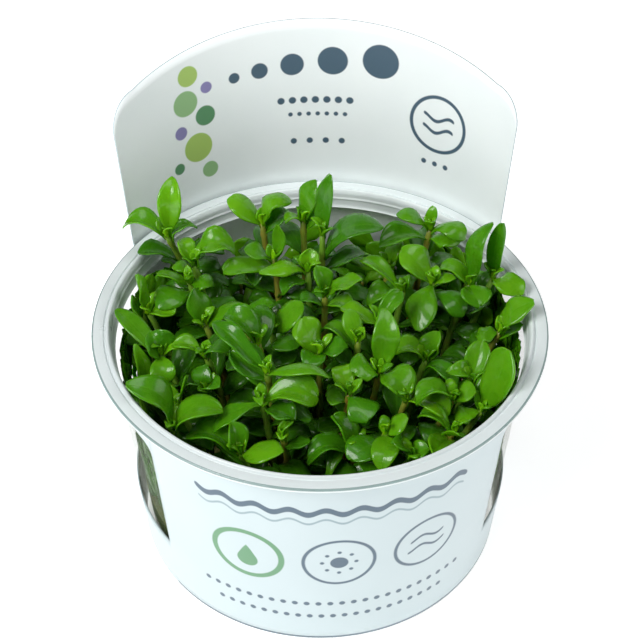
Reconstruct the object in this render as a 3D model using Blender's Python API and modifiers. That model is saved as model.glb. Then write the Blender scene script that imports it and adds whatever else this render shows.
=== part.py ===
"""Potted lemon bacopa: young shoots growing out of gel in a lidded-type plastic cup, with a paper
label sleeve that rises behind the cup as a card. Metres, +Z up, origin at the middle of the
cup's base, front towards -Y.

Everything grows from the sizes below. Shoots and leaves are written in millimetres and scaled
when their meshes are made.
"""

import math
import random
from dataclasses import dataclass, field

import bmesh
import bpy
from mathutils import Matrix, Vector
from mathutils.bvhtree import BVHTree

MM = 0.001
COLLECTION = "potted_lemon_bacopa"

# Cup, in millimetres
RIM_RADIUS = 45.0
RIM_HEIGHT = 53.6
BASE_RADIUS = 37.85
WALL_SLOPE = 0.0681
WALL = 0.8
FLOOR = 1.0
INNER_FILLET = 0.8
FOOT_CHAMFER = 1.0
FOOT_HEIGHT = 1.4
FLANGE_UNDERSIDE = 52.65
FLANGE_EDGE = 0.25
LID_SEAT_HEIGHT = 49.4
LID_SEAT_LIFT = 0.6
LID_SEAT_RADIUS = 41.0
LID_WALL_RADIUS = 41.2
LID_WALL_TOP = 53.0
BEAD_HEIGHT = 53.85
BEAD_RADIUS = 41.9
BEAD_HALF = 0.55
GROOVE_RADIUS = 42.8
CUP_STEPS = 48

# Growing gel, in millimetres
GEL_TOP = 14.0
GEL_MENISCUS = 0.5
GEL_MENISCUS_WIDTH = 2.7
GEL_CHAMFER = 1.0
GEL_STEPS = 24
GAP = 0.3

# Label sleeve: millimetres, and degrees counted from the front (-Y) towards +X
SHEET = 0.35
SLEEVE_BOTTOM = 0.6
WINDOW_BOTTOM = 14.5
WINDOW_TOP = 44.5
WINDOW_CORNER = 2.8
CORNER_CUT = 0.29
STRIP_TOP = 52.3
FRONT_MIDDLE = 3.8
FRONT_LEFT = -50.5
FRONT_RIGHT = 58.0
REAR_RIGHT = 121.5
REAR_LEFT = 242.0
CARD_MIDDLE = 181.8
CARD_HALF_ANGLE = 57.5
CARD_HALF_WIDTH = 48.0
CARD_HEIGHT = 92.4
CARD_ARC = 154.0
CARD_CORNER = 7.0
CARD_CORNER_TURNS = (15, 40, 65, 90)
CARD_COLUMN = 8.6
CARD_RADIUS = 45.5
CARD_SIDE_TOP = 77.0
CARD_ROWS = (60.0, 69.0)
FRONT_COLUMNS = 18
WINDOW_COLUMNS = 9
LIFT_START = 75.0
LIFT_END = 115.0

# Shoots, in millimetres
STEM_FOOT = 0.85
STEM_TIP = 0.6
LEAF_THICKNESS = 0.6
CLEARANCE = 0.12
SIBLING_CLEARANCE = 0.02
STEM_CLEARANCE = 0.5
NEAR = 12.0
ROOT_PULL = 0.8
ROOT_TRIES = 30
ROOT_TURN = 2.4
ROOT_STEP = 0.35
JOINT_DEPTHS = (0.9, 2.9, 4.9, 6.9)
JOINT_HALF = 0.9
CUT_GAP = 0.3
APART = 0.25
BOW_ROOM = 0.36
BOW_LEAST = 0.18
UNDER_DEPTHS = (9.0, 15.5)
UNDER_SPACING = 2.4
TALL_CROWN = 55.5
UNDER_LEAF_LENGTH = (8.0, 10.5)
UNDER_LEAF_WIDTH = (4.6, 6.2)
UNDER_LEAF_RISE = (0.1, 0.6)
UNDER_LEAF_ARCH = 0.12
SEED = 43

# Where a leaf is cut into sections, and how wide it is there beside its full width
FULL_LEAF = ((0.30, 0.80), (0.68, 1.0), (1.0, 0.36))
PLAIN_LEAF = ((0.52, 1.0), (1.0, 0.38))
STEM_SHARES = (0.0, 0.35, 0.7, 1.0)
OFF_STEM = 0.15
STRAIGHT_FOOT = 0.75
ASKEW_FOOT = 1.2


@dataclass
class Shoot:
    """One stem: its crown, how far it leans from its root, and the leaves that show.

    A leaf is where its tip lies from the crown, its width, how far it arches up as a share
    of its length, and how far it is rolled about its length in degrees.
    """

    crown: tuple
    leaves: tuple
    lean: tuple = None


SHOOTS = (
    # back row, from left to right
    Shoot((-31.5, 18, 60), ((2, 3.5, 12, 5, 0.1, 30), (-7, 5, 5, 6.5, 0.1, 0),
                            (5, 1.5, 2, 3.5, 0.3, 0)), lean=(-7, -6)),
    Shoot((-26, 15, 55), ((9, 1.5, 2.5, 6.5, 0.35, 0), (-4, 0.5, 0, 3.5, 0.1, 0),
                          (-2.3, 3.5, 4, 4, 0.1, 0))),
    Shoot((-12, 23.5, 59), ((-6.6, 2.5, 5, 6, 0.1, 0), (6.2, 1.5, 5.5, 5.5, 0.4, 0),
                            (6, 2, 1, 6, 0.2, 0))),
    Shoot((-9.5, 17, 55), ((1, 1, 8, 3.2, 0, 0), (-6, -1, 2, 5, 0.1, 0),
                           (-10.5, -3, -1.5, 5.5, 0.15, 0))),
    Shoot((-3.5, 22, 61), ((2.2, 2, 8.5, 5.2, 0.1, 0), (-3.8, -2, 1.5, 4, 0.2, 0),
                           (5.5, 2.5, 1, 5, 0.2, 0))),
    Shoot((0.5, 18.5, 60), ((12.4, -1.5, 3, 7.5, 0.2, 0), (1.8, 4, 12, 4, 0, 0),
                            (5.2, 3.5, 8, 6, 0.25, 0))),
    Shoot((-2.5, 14, 54), ((-9.5, -3, 1, 5, 0.3, 0), (0.7, 2, 4, 4.2, 0.1, 0),
                           (-5.4, -4.5, -2, 5, 0.1, 0))),
    Shoot((14.5, 20.5, 49), ((-10, 3.5, 2, 5.5, 0.1, 0), (2, 3, 5, 4, 0.1, 0))),
    Shoot((23, 22, 59), ((-7, 0, 4, 4, 0.15, 0), (7, -0.5, 3, 5, 0.2, 0),
                         (-11, -3.5, -2, 6.5, 0.1, 0), (6, -3, -1, 6.5, 0.15, 0),
                         (0, 1.5, 4, 2.4, 0.05, 0))),
    Shoot((30.5, 10, 54), ((2.5, 2, 14, 4.5, 0.1, 0), (1.5, -6, -1.5, 6.5, 0.1, 0),
                           (-5, 2, 4.5, 4, 0.3, 0))),
    Shoot((35.5, 12, 54), ((0.8, 1.6, 13, 3.5, 0.05, 0), (5, -7, 0, 6.5, 0.25, 0))),
    # middle, from left to right
    Shoot((-27, 12, 53), ((-5.2, -7, 0.5, 6.5, 0.2, 0), (-6.1, 0.3, 2, 4.5, 0.15, 0),
                          (5, 1, 2, 5, 0.2, 0))),
    Shoot((-35, 6, 50), ((-5.6, -0.3, 8.5, 5.5, 0.1, 0), (-1.2, 1, 8.8, 3, 0.1, 0),
                         (5.5, -2, 1, 5.5, 0.2, 0))),
    Shoot((-23.5, 5.5, 47), ((-2, 3, 7, 5.5, 0.1, 0), (5.5, 5.5, 4, 4, 0.1, 0))),
    Shoot((-15.5, 6, 48), ((0, 1.5, 8, 2.8, 0, 0), (6.5, 1, 3, 4.5, 0.2, 0))),
    Shoot((-12, -8.5, 55), ((-6.5, 3, 5, 6, 0.2, 0), (0.5, 6.5, 5, 4.5, 0.1, 0))),
    Shoot((-22, -11, 54), ((-6.5, 1.5, 1, 4, 0.15, 0), (5, -2.5, 3, 5, 0.3, 0),
                           (-1.5, -2.5, -6, 4.5, 0.1, 0))),
    Shoot((-9.5, -2, 52), ((6, 2.5, 5, 6, 0.1, 0), (5, -5.5, 0, 6.5, 0.2, 0))),
    Shoot((1, 6.5, 54), ((-1.5, 1.5, 6, 4.5, 0.1, 0), (7, 2.5, 4, 5, 0.2, 0),
                         (-5, -2, 0, 5, 0.1, 0), (5.5, -3.5, -1, 5, 0.1, 0))),
    Shoot((0, -8, 52), ((-3.5, 4, 5, 6.5, 0.1, 0), (-4, -4.5, 1, 5, 0.1, 0),
                        (5, -0.5, 2, 5, 0.1, 0))),
    Shoot((7.5, -6, 53), ((-7.5, 0.5, 2, 4.5, 0.15, 0), (-2, 4.5, 4, 4, 0.1, 0))),
    Shoot((12, -1, 53), ((-8, 1.5, 2, 5, 0.1, 0), (4, 4, 5, 4, 0.2, 0),
                         (4, -5, -2, 5, 0.1, 0))),
    Shoot((17, 10, 52), ((-8.5, 6.5, 4, 4, 0.1, 0), (-7.5, -3.5, 0, 4.5, 0.3, 0))),
    Shoot((23, 10.5, 54), ((-6, 3.5, 6, 7, 0.05, 0), (4.5, -1, 4, 4, 0.2, 0),
                           (6.2, -6, -4, 5.5, 0.15, 0), (-3, -9.5, -5, 6.5, 0.2, 0))),
    Shoot((21, -7, 49), ((7, -2.9, 1, 4.5, 0.3, 0), (2, 2.5, 5, 5, 0.1, 0),
                         (-7.2, -0.5, 1.5, 6, 0.25, 0))),
    Shoot((36, -1, 51), ((6.1, 1.2, 6.2, 5.5, 0.25, 0), (5, -1.5, 3, 5.5, 0.1, 0),
                         (-5.2, 0, -1, 5, 0.1, 0))),
    # front, from left to right
    Shoot((-31, -9.5, 53), ((-9.5, 10.5, 2, 4.5, 0.1, 0), (5, 3.5, 3, 4.5, 0.3, 0),
                            (-1.5, 1.5, 4, 6.5, 0.2, 0), (2, -4.5, -4, 5, 0.3, 0))),
    Shoot((-35, -11, 43), ((-0.5, 1.5, 13, 3.2, 0.05, 0), (5, -3, 1, 5, 0.1, 0))),
    Shoot((-27.5, -18, 46), ((2.5, 0, 9, 4.5, 0.1, 0), (-3.5, 3, 4, 4, 0.1, 0))),
    Shoot((-22, -14.5, 47), ((3, -2, 4, 4.5, 0.2, 0), (-1.5, 0.5, 5, 4, 0.1, 0))),
    Shoot((-28, -24, 47), ((-9.3, 2.5, 8, 6, 0.2, 0), (10, 0, 5, 7, 0.25, 0))),
    Shoot((-10, -18.5, 57), ((-10, 7.5, 6, 4.5, 0.05, 0), (12, -2, 0.5, 3.5, 0.1, 0),
                             (-7, 4.5, 1, 8, 0, 0))),
    Shoot((-11, -21.5, 52), ((11, 0, 1, 7.5, 0.15, 0), (-9.5, -4.5, -3, 4.5, 0.1, 0),
                             (6.3, -3, -2, 5.5, 0.1, 0))),
    Shoot((-15, -29, 46), ((-10, -0.5, 3, 6.5, 0.25, 0), (8, -3, 4, 6.5, 0.1, 0),
                           (-1, 2, 6, 5, 0.1, 0))),
    Shoot((-7, -24.5, 45), ((2, 0, 5, 4.5, 0.2, 0), (5, -1.5, 0, 4.5, 0.1, 0))),
    Shoot((5.5, -18.5, 51), ((-4.3, 0.5, -2, 5.5, 0.1, 0), (3.5, -5.5, -2, 6.5, 0.1, 0),
                             (-1.5, 5.5, 2.5, 5, 0.1, 0))),
    Shoot((11.5, -13.5, 52), ((1, 4, 11, 5.4, 0, 0), (2.5, -8, -2, 7, 0.2, 0),
                              (-6, -2.5, 0, 6, 0.2, 0))),
    Shoot((16.5, -19, 50), ((8, -3.5, -1, 5.5, 0.15, 0),)),
    Shoot((7, -24.5, 43), ((-5, 2.5, 5, 5.5, 0.1, 0), (-9.5, -3, 0, 5.5, 0.1, 0))),
    Shoot((12.5, -24, 46), ((-7, -5.5, -2, 6.5, 0.1, 0), (4, 1, 3, 4.5, 0.2, 0),
                            (1, -8.5, 0, 5.5, 0.1, 0))),
    Shoot((17, -28.5, 44), ((-4, -2, 5, 4, 0.1, 0), (3.5, 0.5, 2, 4.5, 0.1, 0))),
    Shoot((25.5, -24.5, 47), ((-7, 2, 2.5, 4.5, 0.2, 0), (2.4, -7, 4.5, 5, 0.05, 0),
                              (-3.5, -8, 2, 5.5, 0.1, 0))),
    Shoot((25.5, -19, 50), ((-9, 0.5, 3, 6, 0.2, 0), (4, 0, 2, 5.5, 0.1, 0))),
    Shoot((31, -20, 48), ((4.5, 4, 12, 8, 0.05, 0), (8, 3.5, 5, 6, 0.05, 0),
                          (-6.5, -1, 1, 6, 0.1, 0))),
    Shoot((29.5, -14, 49), ((-5, -0.5, 4, 4, 0.2, 0), (2, 6, 6, 5, 0.1, 0))),
)


@dataclass
class Section:
    """A flat four-cornered slice through a stem or a leaf."""

    centre: Vector
    side: Vector
    face: Vector
    half_width: float
    half_depth: float

    def corners(self, margin=0.0):
        """Return the four corners, in order round the slice."""
        across = self.side * (self.half_width + margin)
        through = self.face * (self.half_depth + margin)
        return [self.centre + across * sx + through * sy
                for sx, sy in ((-1, -1), (1, -1), (1, 1), (-1, 1))]

    def blended(self, other, share):
        """Return the slice at a share of the way to another."""
        return Section(self.centre.lerp(other.centre, share),
                       self.side.lerp(other.side, share).normalized(),
                       self.face.lerp(other.face, share).normalized(),
                       self.half_width + (other.half_width - self.half_width) * share,
                       self.half_depth + (other.half_depth - self.half_depth) * share)


@dataclass
class Leaf:
    """A leaf from its joint, in the middle of its stem, to its tip, bowed upward by arch."""

    joint: Vector
    tip: Vector
    width: float
    arch: float
    roll: float
    outline: tuple

    def way(self):
        """Return the leaf's level direction away from its stem."""
        level = Vector((self.tip.x - self.joint.x, self.tip.y - self.joint.y, 0.0))
        return level.normalized() if level.length > 0.01 else Vector((0.0, -1.0, 0.0))

    def bow(self, chord):
        """Return how far the middle stands off the chord; a steep leaf stays off its stem."""
        wanted = self.arch * chord.length
        steep = max(abs(chord.z) / chord.length, 0.1)
        level = math.hypot(chord.x, chord.y)
        return min(wanted, (BOW_ROOM * level + BOW_LEAST) / steep)

    def section(self, share, width_share):
        """Return the slice at a share of the way from the stem's skin to the tip."""
        way = self.way()
        base = self.joint + way * STEM_TIP
        chord = self.tip - base
        side = Vector((0.0, 0.0, 1.0)).cross(way)
        side.rotate(Matrix.Rotation(math.radians(self.roll), 3, chord))
        upward = chord.cross(side).normalized()
        bow = self.bow(chord) * 4.0
        centre = base + chord * share + upward * bow * share * (1.0 - share)
        run = chord + upward * bow * (1.0 - 2.0 * share)
        face = run.cross(side).normalized()
        return Section(centre, side, face, self.width * width_share / 2.0, LEAF_THICKNESS / 2.0)

    def foot(self, half_width):
        """Return the face of the stem that the leaf grows from, as a slice."""
        upright = Vector((0.0, 0.0, 1.0))
        way = self.way()
        return Section(self.joint + way * STEM_TIP, upright.cross(way), upright,
                       half_width, JOINT_HALF)

    def blade(self):
        """Return the slices that the leaf's blade is built from."""
        return [self.section(share, width) for share, width in self.outline]

    def whole(self):
        """Return the slices of the leaf and of its foot, wide enough for a foot that is askew."""
        return [self.foot(ASKEW_FOOT)] + self.blade()

    def freed(self):
        """Return the slices of the leaf from just off its stem."""
        blade = self.blade()
        return [self.foot(STRAIGHT_FOOT).blended(blade[0], OFF_STEM)] + blade


@dataclass
class Stem:
    """A shoot's leaves, by the height of the joint that they grow from."""

    leaves: dict = field(default_factory=dict)


def tube_tree(sections, margin):
    """Return a search tree of the tube through some slices, made larger by a margin."""
    points = [corner for section in sections for corner in section.corners(margin)]
    last = len(points) - 4
    faces = [(0, 1, 2, 3), (last, last + 1, last + 2, last + 3)]
    for start in range(0, last, 4):
        for k in range(4):
            turn = (k + 1) % 4
            faces.append((start + k, start + turn, start + 4 + turn, start + 4 + k))
    return BVHTree.FromPolygons(points, faces)


def cup_walls_tree():
    """Return a search tree of what the leaves must not cross: the cup's inside and the card."""
    profile = ((inner_radius(GEL_TOP), GEL_TOP), (inner_radius(LID_SEAT_HEIGHT), LID_SEAT_HEIGHT),
               (LID_SEAT_RADIUS, LID_SEAT_HEIGHT + LID_SEAT_LIFT), (LID_WALL_RADIUS, LID_WALL_TOP),
               (BEAD_RADIUS, BEAD_HEIGHT), (RIM_RADIUS, RIM_HEIGHT), (CARD_RADIUS, RIM_HEIGHT),
               (sheet_radius(CARD_MIDDLE, CARD_HEIGHT), CARD_HEIGHT))
    points = []
    for step in range(CUP_STEPS):
        turn = step * math.tau / CUP_STEPS
        points += [Vector((r * math.cos(turn), r * math.sin(turn), z)) for r, z in profile]
    count = len(profile)
    faces = []
    for step in range(CUP_STEPS):
        here, beside = step * count, (step + 1) % CUP_STEPS * count
        faces += [(here + k, beside + k, beside + k + 1, here + k + 1) for k in range(count - 1)]
    return BVHTree.FromPolygons(points, faces)


def outer_radius(height):
    """Return the cup wall's outer radius at a height."""
    return BASE_RADIUS + WALL_SLOPE * height


def inner_radius(height):
    """Return the cup wall's inner radius at a height."""
    return outer_radius(height) - WALL


def within_cup(leaf):
    """Return whether every corner of a leaf stays inside the cup, or above its rim."""
    for section in leaf.blade():
        for corner in section.corners(CLEARANCE):
            reach = math.hypot(corner.x, corner.y)
            limit = inner_radius(corner.z) if corner.z < BEAD_HEIGHT else RIM_RADIUS
            if reach > limit or corner.z < GEL_TOP + GAP:
                return False
    return True


def stem_centre(crown, root, height):
    """Return the stem's middle at a height: straight lengths between a few bent joints."""
    share = (height - root.z) / (crown.z - root.z)
    knee = Vector((root.x, root.y, (root.z + crown.z) / 2.0))
    bent = [root.lerp(knee, k).lerp(knee.lerp(crown, k), k) for k in STEM_SHARES]
    for k in range(1, len(bent)):
        if share <= STEM_SHARES[k] or k == len(bent) - 1:
            span = STEM_SHARES[k] - STEM_SHARES[k - 1]
            return bent[k - 1].lerp(bent[k], (share - STEM_SHARES[k - 1]) / span)


def stem_section(crown, root, height, yaw):
    """Return the stem's slice at a height, turned by yaw."""
    share = (height - root.z) / (crown.z - root.z)
    half = STEM_FOOT + (STEM_TIP - STEM_FOOT) * share
    side = Vector((math.cos(yaw), math.sin(yaw), 0.0))
    face = Vector((-math.sin(yaw), math.cos(yaw), 0.0))
    return Section(stem_centre(crown, root, height), side, face, half, half)


def joints_of(leaves):
    """Return leaves sorted into joints from the top: those of one joint point well apart."""
    joints = []
    for leaf in sorted(leaves, key=lambda leaf: -leaf[2]):
        way = Vector(leaf[:2]).normalized()
        for joint in joints:
            if all(way.dot(Vector(other[:2]).normalized()) < APART for other in joint):
                joint.append(leaf)
                break
        else:
            joints.append([leaf])
    return joints


def leaf_changes():
    """Return the changes that may free a leaf, the smallest first: size, rise and turn."""
    changes = [((1.0 - size) * 3.0 + abs(rise) + abs(turn) / 60.0, size, rise, turn)
               for size in (1.0, 0.92, 0.84, 0.75)
               for rise in (0.0, 0.1, -0.1, 0.2, -0.2, 0.35, -0.35)
               for turn in (0.0, 7.0, -7.0, 15.0, -15.0, 25.0, -25.0)]
    return [change[1:] for change in sorted(changes)]


@dataclass
class Space:
    """The space that a stem or a leaf takes: as others meet it, and as its own stem does."""

    stem: Stem
    is_leaf: bool
    middle: Vector
    reach: float
    outer: BVHTree
    inner: BVHTree


class Garden:
    """All shoots in the cup, grown so that none of them touches another."""

    def __init__(self):
        self.walls = cup_walls_tree()
        self.changes = leaf_changes()
        self.spaces = []
        self.stems = []

    def nearby(self, middle):
        """Return what has grown near a place."""
        return [space for space in self.spaces
                if (space.middle - middle).length < space.reach + NEAR]

    def keep(self, stem, is_leaf, outer, inner):
        """Remember the space of a stem or a leaf that has grown."""
        middle = outer[len(outer) // 2].centre
        reach = max((section.centre - middle).length for section in outer)
        self.spaces.append(Space(stem, is_leaf, middle, reach, tube_tree(outer, 0.0),
                                 tube_tree(inner, 0.0)))

    def leaf_is_free(self, stem, leaf):
        """Return whether a leaf is clear of the cup and of all that has grown."""
        whole = tube_tree(leaf.whole(), CLEARANCE)
        if not within_cup(leaf) or whole.overlap(self.walls):
            return False
        freed = tube_tree(leaf.freed(), SIBLING_CLEARANCE)
        blade = tube_tree(leaf.blade(), CLEARANCE)
        for space in self.nearby(leaf.section(0.5, 1.0).centre):
            if space.stem is not stem:
                blocked = whole.overlap(space.outer)
            elif space.is_leaf:
                blocked = freed.overlap(space.inner)
            else:
                blocked = blade.overlap(space.inner)
            if blocked:
                return False
        return True

    def plant(self, number, shoot):
        """Stand one stem in the gel, moving its root until it is clear of the others."""
        crown = Vector(shoot.crown)
        lean = Vector(shoot.lean or (crown.x * (1.0 - ROOT_PULL), crown.y * (1.0 - ROOT_PULL)))
        for attempt in range(ROOT_TRIES):
            turn = attempt * ROOT_TURN
            shift = Vector((math.cos(turn), math.sin(turn))) * ROOT_STEP * attempt
            root = Vector((crown.x - lean.x + shift.x, crown.y - lean.y + shift.y, GEL_TOP + GAP))
            sections = [stem_section(crown, root, root.z + (crown.z - root.z) * share, 0.0)
                        for share in STEM_SHARES]
            tree = tube_tree(sections, STEM_CLEARANCE)
            if not any(tree.overlap(space.outer) for space in self.spaces + [self.cup_space()]):
                break
        else:
            raise RuntimeError(f"no room for shoot {number}")
        stem = Stem()
        self.keep(stem, False, sections, sections)
        self.stems.append((stem, shoot, crown, root))

    def cup_space(self):
        """Return the cup's walls as a taken space."""
        return Space(None, False, Vector(), 0.0, self.walls, self.walls)

    def fit_leaf(self, stem, leaf):
        """Return the leaf, turned or shortened until it is clear of everything, or None."""
        chord = leaf.tip - leaf.joint
        for size, rise, turn in self.changes:
            reach = chord.copy()
            reach.z += rise * chord.length
            reach = reach.normalized() * chord.length * size
            reach.rotate(Matrix.Rotation(math.radians(turn), 3, "Z"))
            trial = Leaf(leaf.joint, leaf.joint + reach, leaf.width * size, leaf.arch,
                         leaf.roll, leaf.outline)
            if self.leaf_is_free(stem, trial):
                return trial
        return None

    def grow_joint(self, stem, crown, root, height, leaves):
        """Add the leaves of one joint to a stem, and remember those that fit."""
        joint = stem_section(crown, root, height, 0.0).centre
        placed = []
        for tip, width, arch, roll, outline in leaves:
            leaf = self.fit_leaf(stem, Leaf(joint, tip, width, arch, roll, outline))
            if leaf:
                self.keep(stem, True, leaf.whole(), leaf.freed())
                placed.append(leaf)
        stem.leaves[height] = placed

    def grow_shown_leaves(self):
        """Grow the leaves that each shoot names, pair by pair from the top."""
        for stem, shoot, crown, root in self.stems:
            for depth, joint in zip(JOINT_DEPTHS, joints_of(shoot.leaves)):
                leaves = [(crown + Vector(leaf[:3]), *leaf[3:], FULL_LEAF) for leaf in joint]
                self.grow_joint(stem, crown, root, crown.z - depth, leaves)

    def grow_under_leaves(self):
        """Grow plain pairs lower on each stem, where there is room: two on the tall stems."""
        for number, (stem, shoot, crown, root) in enumerate(self.stems):
            draw = random.Random(SEED + number)
            turn = draw.uniform(0.0, math.tau)
            lowest = min(stem.leaves) - UNDER_SPACING
            for depth in UNDER_DEPTHS if crown.z > TALL_CROWN else UNDER_DEPTHS[:1]:
                height = min(crown.z - depth, lowest)
                joint = stem_section(crown, root, height, 0.0).centre
                leaves = []
                for way in (turn, turn + math.pi):
                    length = draw.uniform(*UNDER_LEAF_LENGTH)
                    rise = draw.uniform(*UNDER_LEAF_RISE)
                    reach = Vector((math.cos(way), math.sin(way), rise)).normalized() * length
                    width = draw.uniform(*UNDER_LEAF_WIDTH)
                    leaves.append((joint + reach, width, UNDER_LEAF_ARCH, 0.0, PLAIN_LEAF))
                self.grow_joint(stem, crown, root, height, leaves)
                turn += math.pi / 2.0


def extrude_to(bm, face, section, side, up):
    """Extrude one four-cornered face to a slice; side and up say which corner is which."""
    grown = bmesh.ops.extrude_discrete_faces(bm, faces=[face])["faces"][0]
    middle = grown.calc_center_median()
    for vert in grown.verts:
        offset = vert.co - middle
        across = math.copysign(section.half_width, offset.dot(side))
        through = math.copysign(section.half_depth, offset.dot(up))
        vert.co = section.centre + section.side * across + section.face * through
    return grown


def add_leaf(bm, wall, leaf):
    """Extrude a leaf out of a face of the stem."""
    up = Vector((0.0, 0.0, 1.0))
    for section in leaf.blade():
        side = section.side
        wall = extrude_to(bm, wall, section, side, up)
        up = section.face


def nearest_yaw(yaw, wanted):
    """Return the wanted direction turned by quarters until it is nearest to yaw."""
    quarter = math.pi / 2.0
    return wanted + round((yaw - wanted) / quarter) * quarter


def shoot_mesh(name, stem, crown, root):
    """Return the mesh of one shoot: a four-sided stem with its leaves extruded from it."""
    joints = [height for height in sorted(stem.leaves) if stem.leaves[height]]
    cuts = []
    joint_middles = {}
    for height in joints:
        middle = stem_centre(crown, root, height)
        for cut in (height - JOINT_HALF, height + JOINT_HALF):
            joint_middles[cut] = Vector((middle.x, middle.y, cut))
        cuts += [(height - JOINT_HALF, None), (height + JOINT_HALF, height)]
    for share in STEM_SHARES:
        height = root.z + (crown.z - root.z) * share
        if all(abs(height - joint) > JOINT_HALF + CUT_GAP for joint in joints):
            cuts.append((height, None))
    cuts.sort(key=lambda cut: cut[0])
    bm = bmesh.new()
    bmesh.ops.create_cube(bm, size=1.0)
    yaw = 0.0
    first = stem_section(crown, root, root.z, yaw)
    second = stem_section(crown, root, cuts[1][0], yaw)
    for vert in bm.verts:
        slice_ = second if vert.co.z > 0.0 else first
        across = math.copysign(slice_.half_width, vert.co.x)
        through = math.copysign(slice_.half_depth, vert.co.y)
        vert.co = slice_.centre + slice_.side * across + slice_.face * through
    bm.normal_update()
    top = max(bm.faces, key=lambda face: face.normal.z)
    last = second
    walls = []
    for height, joint in cuts[2:]:
        leaves = stem.leaves.get(joint, [])
        if leaves:
            yaw = nearest_yaw(yaw, math.atan2(leaves[0].way().y, leaves[0].way().x))
        here = stem_section(crown, root, height, yaw)
        if height in joint_middles:
            here.centre = joint_middles[height]
        top = extrude_to(bm, top, here, last.side, last.face)
        last = here
        bm.normal_update()
        free = {edge_face for edge in top.edges for edge_face in edge.link_faces} - {top}
        for leaf in leaves:
            wall = max(free, key=lambda face: face.normal.dot(leaf.way()))
            free.discard(wall)
            walls.append((wall, leaf))
    for wall, leaf in walls:
        add_leaf(bm, wall, leaf)
    bmesh.ops.scale(bm, vec=(MM, MM, MM), verts=bm.verts)
    bmesh.ops.recalc_face_normals(bm, faces=bm.faces)
    mesh = bpy.data.meshes.new(name)
    bm.to_mesh(mesh)
    bm.free()
    return mesh


def material(name, colour, roughness, alpha=1.0):
    """Return a Principled material."""
    made = bpy.data.materials.new(name)
    made.use_nodes = True
    shader = made.node_tree.nodes["Principled BSDF"]
    shader.inputs["Base Color"].default_value = (*colour, 1.0)
    shader.inputs["Roughness"].default_value = roughness
    shader.inputs["Metallic"].default_value = 0.0
    shader.inputs["Alpha"].default_value = alpha
    return made


def add_object(name, mesh, surface, parent, collection):
    """Link a new object with one material under the plant's empty."""
    made = bpy.data.objects.new(name, mesh)
    made.data.materials.append(surface)
    made.parent = parent
    collection.objects.link(made)
    return made


def add_screw(made, steps):
    """Turn a profile into a closed body of revolution."""
    screw = made.modifiers.new("Turn", "SCREW")
    screw.steps = steps
    screw.render_steps = steps
    screw.use_merge_vertices = True
    screw.merge_threshold = 0.00005
    screw.use_smooth_shade = True


def profile_mesh(name, points):
    """Return an open profile in the XZ plane as a mesh of edges; points are in millimetres."""
    bm = bmesh.new()
    verts = [bm.verts.new((radius * MM, 0.0, height * MM)) for radius, height in points]
    for one, other in zip(verts, verts[1:]):
        bm.edges.new((one, other))
    mesh = bpy.data.meshes.new(name)
    bm.to_mesh(mesh)
    bm.free()
    return mesh


def add_cup(parent, collection):
    """Add the plastic cup: floor, tapered wall, lid seat, bead and flange."""
    seat = inner_radius(LID_SEAT_HEIGHT)
    points = (
        (0.0, FLOOR), (inner_radius(FLOOR) - INNER_FILLET, FLOOR),
        (inner_radius(FLOOR + INNER_FILLET), FLOOR + INNER_FILLET),
        (seat, LID_SEAT_HEIGHT), (LID_SEAT_RADIUS, LID_SEAT_HEIGHT + LID_SEAT_LIFT),
        (LID_WALL_RADIUS, LID_WALL_TOP), (BEAD_RADIUS, BEAD_HEIGHT),
        (BEAD_RADIUS + BEAD_HALF, RIM_HEIGHT - FLANGE_EDGE), (GROOVE_RADIUS, RIM_HEIGHT),
        (RIM_RADIUS - FLANGE_EDGE, RIM_HEIGHT), (RIM_RADIUS, RIM_HEIGHT - FLANGE_EDGE),
        (RIM_RADIUS, FLANGE_UNDERSIDE + FLANGE_EDGE), (RIM_RADIUS - FLANGE_EDGE, FLANGE_UNDERSIDE),
        (outer_radius(FLANGE_UNDERSIDE), FLANGE_UNDERSIDE), (outer_radius(FOOT_HEIGHT), FOOT_HEIGHT),
        (outer_radius(0.0) - FOOT_CHAMFER, 0.0), (0.0, 0.0),
    )
    surface = material("clear_polypropylene", (0.80, 0.86, 0.86), 0.25, 0.6)
    cup = add_object("cup", profile_mesh("cup", points), surface, parent, collection)
    add_screw(cup, CUP_STEPS)


def add_gel(parent, collection):
    """Add the growing gel that the shoots stand in."""
    edge = GEL_TOP + GEL_MENISCUS
    low = FLOOR + GAP
    side = inner_radius(GEL_TOP) - GAP
    points = (
        (0.0, GEL_TOP), (side - GEL_MENISCUS_WIDTH, GEL_TOP), (inner_radius(edge) - GAP, edge),
        (inner_radius(low + GEL_CHAMFER) - GAP, low + GEL_CHAMFER),
        (inner_radius(low) - GAP - GEL_CHAMFER, low), (0.0, low),
    )
    surface = material("agar_gel", (0.62, 0.60, 0.45), 0.3)
    gel = add_object("growing_gel", profile_mesh("growing_gel", points), surface, parent, collection)
    add_screw(gel, GEL_STEPS)


def card_top(across):
    """Return the card's top edge at a distance from its middle: a shallow arc, round corners."""
    start = CARD_HALF_WIDTH - CARD_CORNER
    reach = abs(across)
    arc = CARD_HEIGHT - CARD_ARC + math.sqrt(CARD_ARC ** 2 - reach ** 2)
    if reach <= start + CARD_CORNER * math.sin(math.radians(CARD_CORNER_TURNS[0])):
        return arc
    corner = CARD_HEIGHT - CARD_ARC + math.sqrt(CARD_ARC ** 2 - start ** 2) - CARD_CORNER
    return corner + math.sqrt(max(CARD_CORNER ** 2 - (reach - start) ** 2, 0.0))


def card_columns():
    """Return distances from the card's middle at which its sheet is cut into columns."""
    start = CARD_HALF_WIDTH - CARD_CORNER
    inner = [CARD_COLUMN * k for k in range(int(start / CARD_COLUMN) + 1)]
    corner = [start + CARD_CORNER * math.sin(math.radians(turn)) for turn in CARD_CORNER_TURNS]
    half = inner + corner
    return [-across for across in reversed(half[1:])] + half


def spread(start, end, count):
    """Return count + 1 values evenly spread from start to end."""
    return [start + (end - start) * k / count for k in range(count + 1)]


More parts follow.
